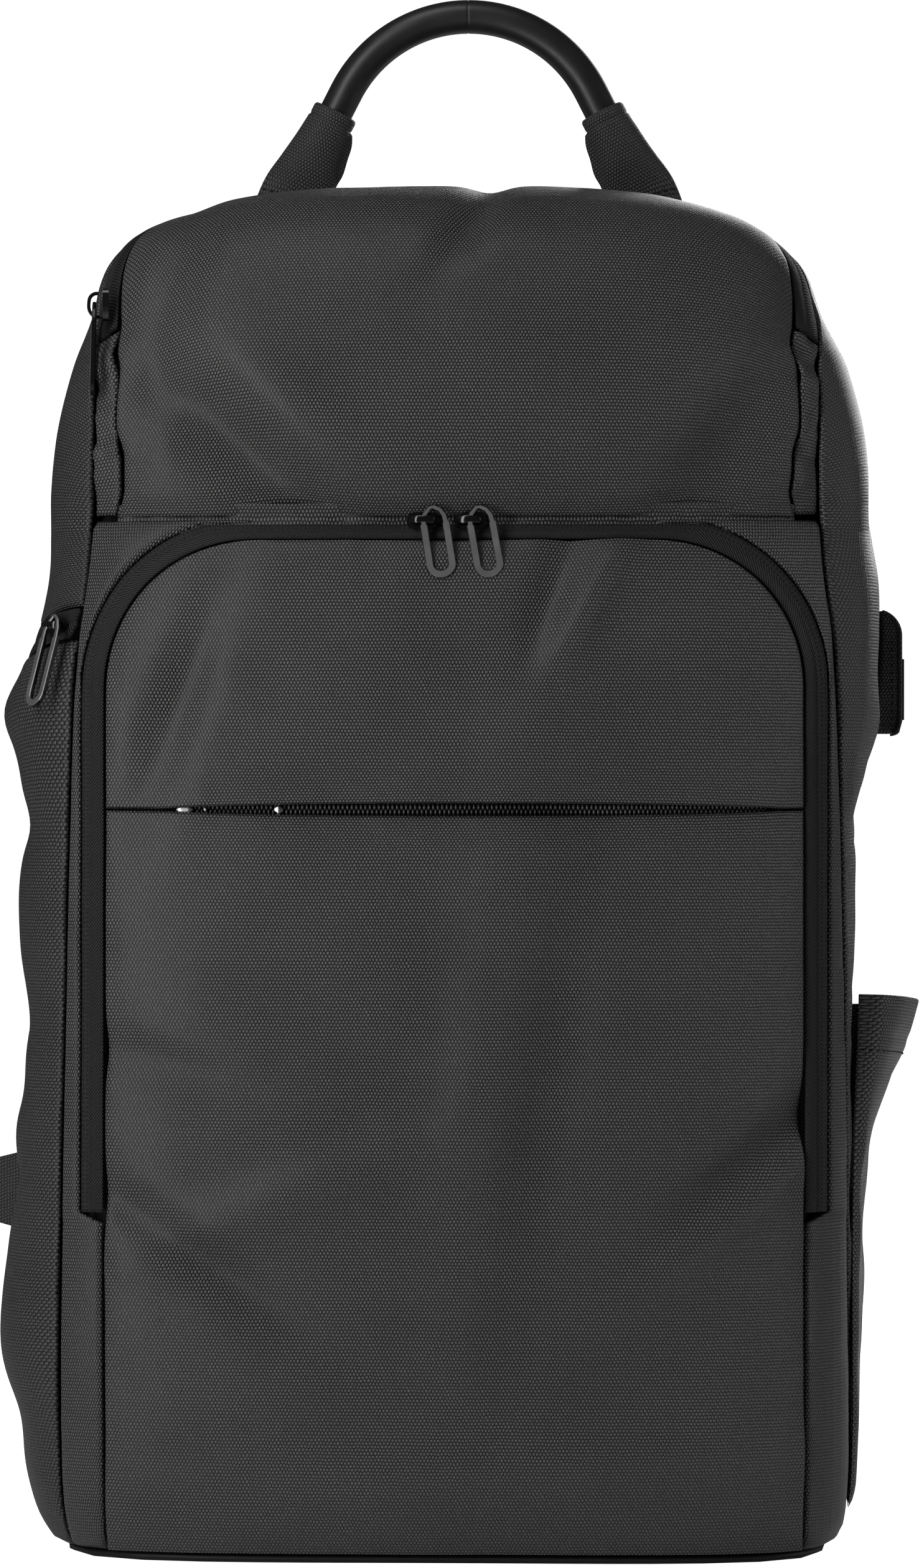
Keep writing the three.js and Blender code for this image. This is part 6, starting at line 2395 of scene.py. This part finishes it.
@dataclass
class StrapFittings:
    """Lower anchors, webbing and ladder locks of the shoulder straps.

    Attributes:
        wardrobe: The finishes.
        lock_x: Place of a ladder lock across.
        lock_z: Its height.
        lock_out: How far behind the back it lies.
        lock_turn: Its turn in degrees.
        anchor_z: Height of the anchors.
        tab_thick: Thickness of an anchor tab.
        web_thick: Thickness of the webbing.
        web_wide: Width of the webbing.
        tab_rise: How much further behind the back a tab ends than it starts.
    """

    wardrobe: Wardrobe
    lock_x: float = 130
    lock_z: float = 138
    lock_out: float = 25.4
    lock_turn: float = 24
    anchor_z: float = 122.5
    tab_thick: float = 2.6
    web_thick: float = 1.6
    web_wide: float = 25
    tab_rise: float = 6

    def band(self, rows: list[tuple], count: int, power: float) -> bmesh.types.BMesh:
        """A flat upright band through rows of place, width and thickness."""
        path = smooth_path(rows, count)
        wide, thick = path[:, 3] / 2, path[:, 4] / 2
        return ring_loft(swept(path[:, :3], (0, 0, 1), outline_ring(40, power), wide, thick))

    def tab_y(self, side: int, x: float) -> float:
        """Depth at which an anchor starts."""
        skin = BODY.on_back(np.array(side * x), np.array(self.anchor_z))
        return float(skin[1]) + 1.9 + self.tab_thick / 2

    def anchor(self, side: int, near: float, far: float) -> None:
        """One anchor tab with a row of stitches along each edge."""
        word = side_word(side)
        y = self.tab_y(side, near)
        rows = [(near, y, 38), ((near + far) / 2, y + 2.4, 32), (far, y + self.tab_rise, self.web_wide)]
        full = [(side * x, d, self.anchor_z, wide, self.tab_thick) for x, d, wide in rows]
        publish(self.band(full, 24, 7), f"AnchorTab{word}", self.wardrobe[Finish.STRAP],
                [f"anchor_tab_{word.lower()}"])
        path = smooth_path(full, 30)
        lift = np.array([0, self.tab_thick / 2 + 0.1, 0])
        rows = [path[:, :3] + lift + np.array([0, 0, s]) * (path[:, 3:4] / 2 - 2.2) for s in (-1, 1)]
        Stitching(self.wardrobe).sew(f"AnchorStitches{word}", rows)

    def webbing(self, side: int, near: float, far: float) -> None:
        """The webbing from an anchor to its ladder lock."""
        word = side_word(side)
        tab = self.tab_y(side, near) + self.tab_rise + self.tab_thick / 2
        half = self.web_thick / 2
        lock = BACK_FACE + self.lock_out - 4 - half - 0.35
        rows = [
            (far - 0.5, tab + half + 0.4, self.anchor_z), (far - 6, tab + half + 1.6, self.anchor_z + 0.1),
            ((far + self.lock_x) / 2, tab + (lock - tab) * 0.6, self.anchor_z + 1.5),
            (self.lock_x + 8, lock, self.anchor_z + 3), (self.lock_x - 6, lock, self.anchor_z + 3.5),
        ]
        full = [(side * x, y, z, self.web_wide, self.web_thick) for x, y, z in rows]
        publish(self.band(full, 40, 6), f"StrapWebbing{word}", self.wardrobe[Finish.WEBBING],
                [f"strap_webbing_{word.lower()}"])

    def lock(self, side: int) -> None:
        """One ladder lock: a frame with three slots and rounded edges."""
        word = side_word(side)
        columns = [-16.5, -13, 13, 16.5]
        levels = [-14.5, -10.5, -6.3, -2, 2.2, 6.5, 10.7, 14.5]
        bm = bmesh.new()
        bmesh.ops.create_grid(bm, x_segments=3, y_segments=7, size=1)
        for vert in bm.verts:
            i, j = round((vert.co.x + 1) * 1.5), round((vert.co.y + 1) * 3.5)
            vert.co = Vector((columns[i], levels[j], 0))
        slots = [f for f in bm.faces if abs(f.calc_center_median().x) < 1
                 and any(abs(f.calc_center_median().y - z) < 1 for z in (-8.4, 0.1, 8.6))]
        bmesh.ops.delete(bm, geom=slots, context="FACES")
        bmesh.ops.solidify(bm, geom=bm.faces[:], thickness=4)
        low = min(v.co.z for v in bm.verts)
        bmesh.ops.translate(bm, verts=bm.verts, vec=(0, 0, -low))
        bmesh.ops.recalc_face_normals(bm, faces=bm.faces)
        edges = [e for e in bm.edges if len(e.link_faces) == 2 and e.calc_face_angle() > 0.5]
        bmesh.ops.bevel(bm, geom=edges, offset=0.9, segments=3, profile=0.5, affect="EDGES", material=-1)
        place = (Matrix.Translation((side * self.lock_x, BACK_FACE + self.lock_out, self.lock_z))
                 @ Matrix.Rotation(math.radians(side * -self.lock_turn), 4, "Y")
                 @ Matrix.Rotation(math.pi / 2, 4, "X"))
        bmesh.ops.transform(bm, matrix=Matrix.Scale(MM, 4) @ place, verts=bm.verts)
        publish(bm, f"LadderLock{word}", self.wardrobe[Finish.BUCKLE],
                [f"ladder_lock_{word.lower()}"], crisp=50)

    def build(self) -> None:
        """Builds the fittings of both sides."""
        for side, near, far in ((-1, 150, 178), (1, 122, 148.5)):
            self.anchor(side, near, far)
            self.webbing(side, near, far)
            self.lock(side)


# Stage


@dataclass(frozen=True)
class Studio:
    """Floor, soft light and the camera of the photograph.

    Attributes:
        camera_at: Place of the camera in millimetres.
        pan: Turn of the camera to the left in degrees.
        lens: Focal length on a frame whose longer side is 36 mm.
        floor_size: Width of the floor in metres.
        glow: Strength of the even light that white surroundings and floor give.
    """

    camera_at: tuple = (79.634, -2278.56, 276.5)
    pan: float = 2.0
    lens: float = 143.0
    floor_size: float = 4.2
    glow: float = 0.05

    def build(self) -> None:
        """Builds the whole stage."""
        self.floor()
        self.world()
        self.lights()
        self.camera()

    def floor(self) -> None:
        """A plain pale floor."""
        bm = bmesh.new()
        bmesh.ops.create_grid(bm, x_segments=1, y_segments=1, size=self.floor_size / 2)
        bmesh.ops.translate(bm, verts=bm.verts, vec=(0, 0.2, -0.0004))
        floor = placed("Floor", as_mesh(bm, "Floor"))
        made, sheet, shader = blank("PaleFloor")
        seen = sheet.add("ShaderNodeLightPath").outputs["Is Camera Ray"]
        sheet.join(sheet.blend(seen, self.glow, 1.0), shader.inputs["Emission Strength"])
        shader.inputs["Base Color"].default_value = (0.86, 0.86, 0.86, 1)
        shader.inputs["Roughness"].default_value = 0.7
        shader.inputs["Emission Color"].default_value = (1, 1, 1, 1)
        floor.data.materials.append(made)

    def world(self) -> None:
        """White surroundings that give a low even light."""
        bpy.context.scene.view_settings.view_transform = "Standard"
        world = bpy.data.worlds.new("WhiteRoom")
        bpy.context.scene.world = world
        world.use_nodes = True
        sheet = NodeSheet(world.node_tree)
        back = world.node_tree.nodes["Background"]
        back.inputs["Color"].default_value = (1, 1, 1, 1)
        seen = sheet.add("ShaderNodeLightPath").outputs["Is Camera Ray"]
        sheet.join(sheet.blend(seen, self.glow, 1.05), back.inputs["Strength"])

    def lights(self) -> None:
        """A large soft light at the upper left and weak ones above and at the right."""
        self.lamp("KeyLight", (-0.31, -0.42, 0.40), 2.3, (0.14, 0.9))
        self.lamp("TopLight", (-0.2, -0.35, 1.25), 1.5, (0.4, 0.4))
        self.lamp("FillLight", (1.1, 0.0, 0.5), 2.3, (0.8, 0.8))
        self.lamp("BackLight", (0.5, 1.6, 0.9), 9, (0.9, 0.9))

    @staticmethod
    def lamp(name: str, at: tuple, power: float, size: tuple) -> None:
        """One area light aimed at the middle of the bag."""
        data = bpy.data.lights.new(name, "AREA")
        data.energy = power
        data.shape = "RECTANGLE"
        data.size, data.size_y = size
        lamp = placed(name, data)
        lamp.location = at
        aim = Vector((0, 0, 0.28)) - Vector(at)
        lamp.rotation_euler = aim.to_track_quat("-Z", "Y").to_euler()

    def camera(self) -> None:
        """The camera of the photograph, level and two degrees to the right."""
        data = bpy.data.cameras.new("PhotoCamera")
        data.lens = self.lens
        data.sensor_width = 36
        data.dof.use_dof = False
        camera = placed("PhotoCamera", data)
        camera.location = Vector(self.camera_at) * MM
        camera.rotation_euler = (math.radians(90), 0, math.radians(self.pan))
        bpy.context.scene.camera = camera


def main() -> None:
    """Builds the bag and its stage."""
    logging.basicConfig(level=logging.INFO, format="%(message)s")
    Studio().build()
    wardrobe = Wardrobe()
    for assembly in (Panels, ZipTapes, PaintedShadeLining, Handle, Pulls, SlitZip, Outlet, BottlePocket,
                     StrapFittings, Padding):
        assembly(wardrobe).build()


if __name__ == "__main__":
    main()
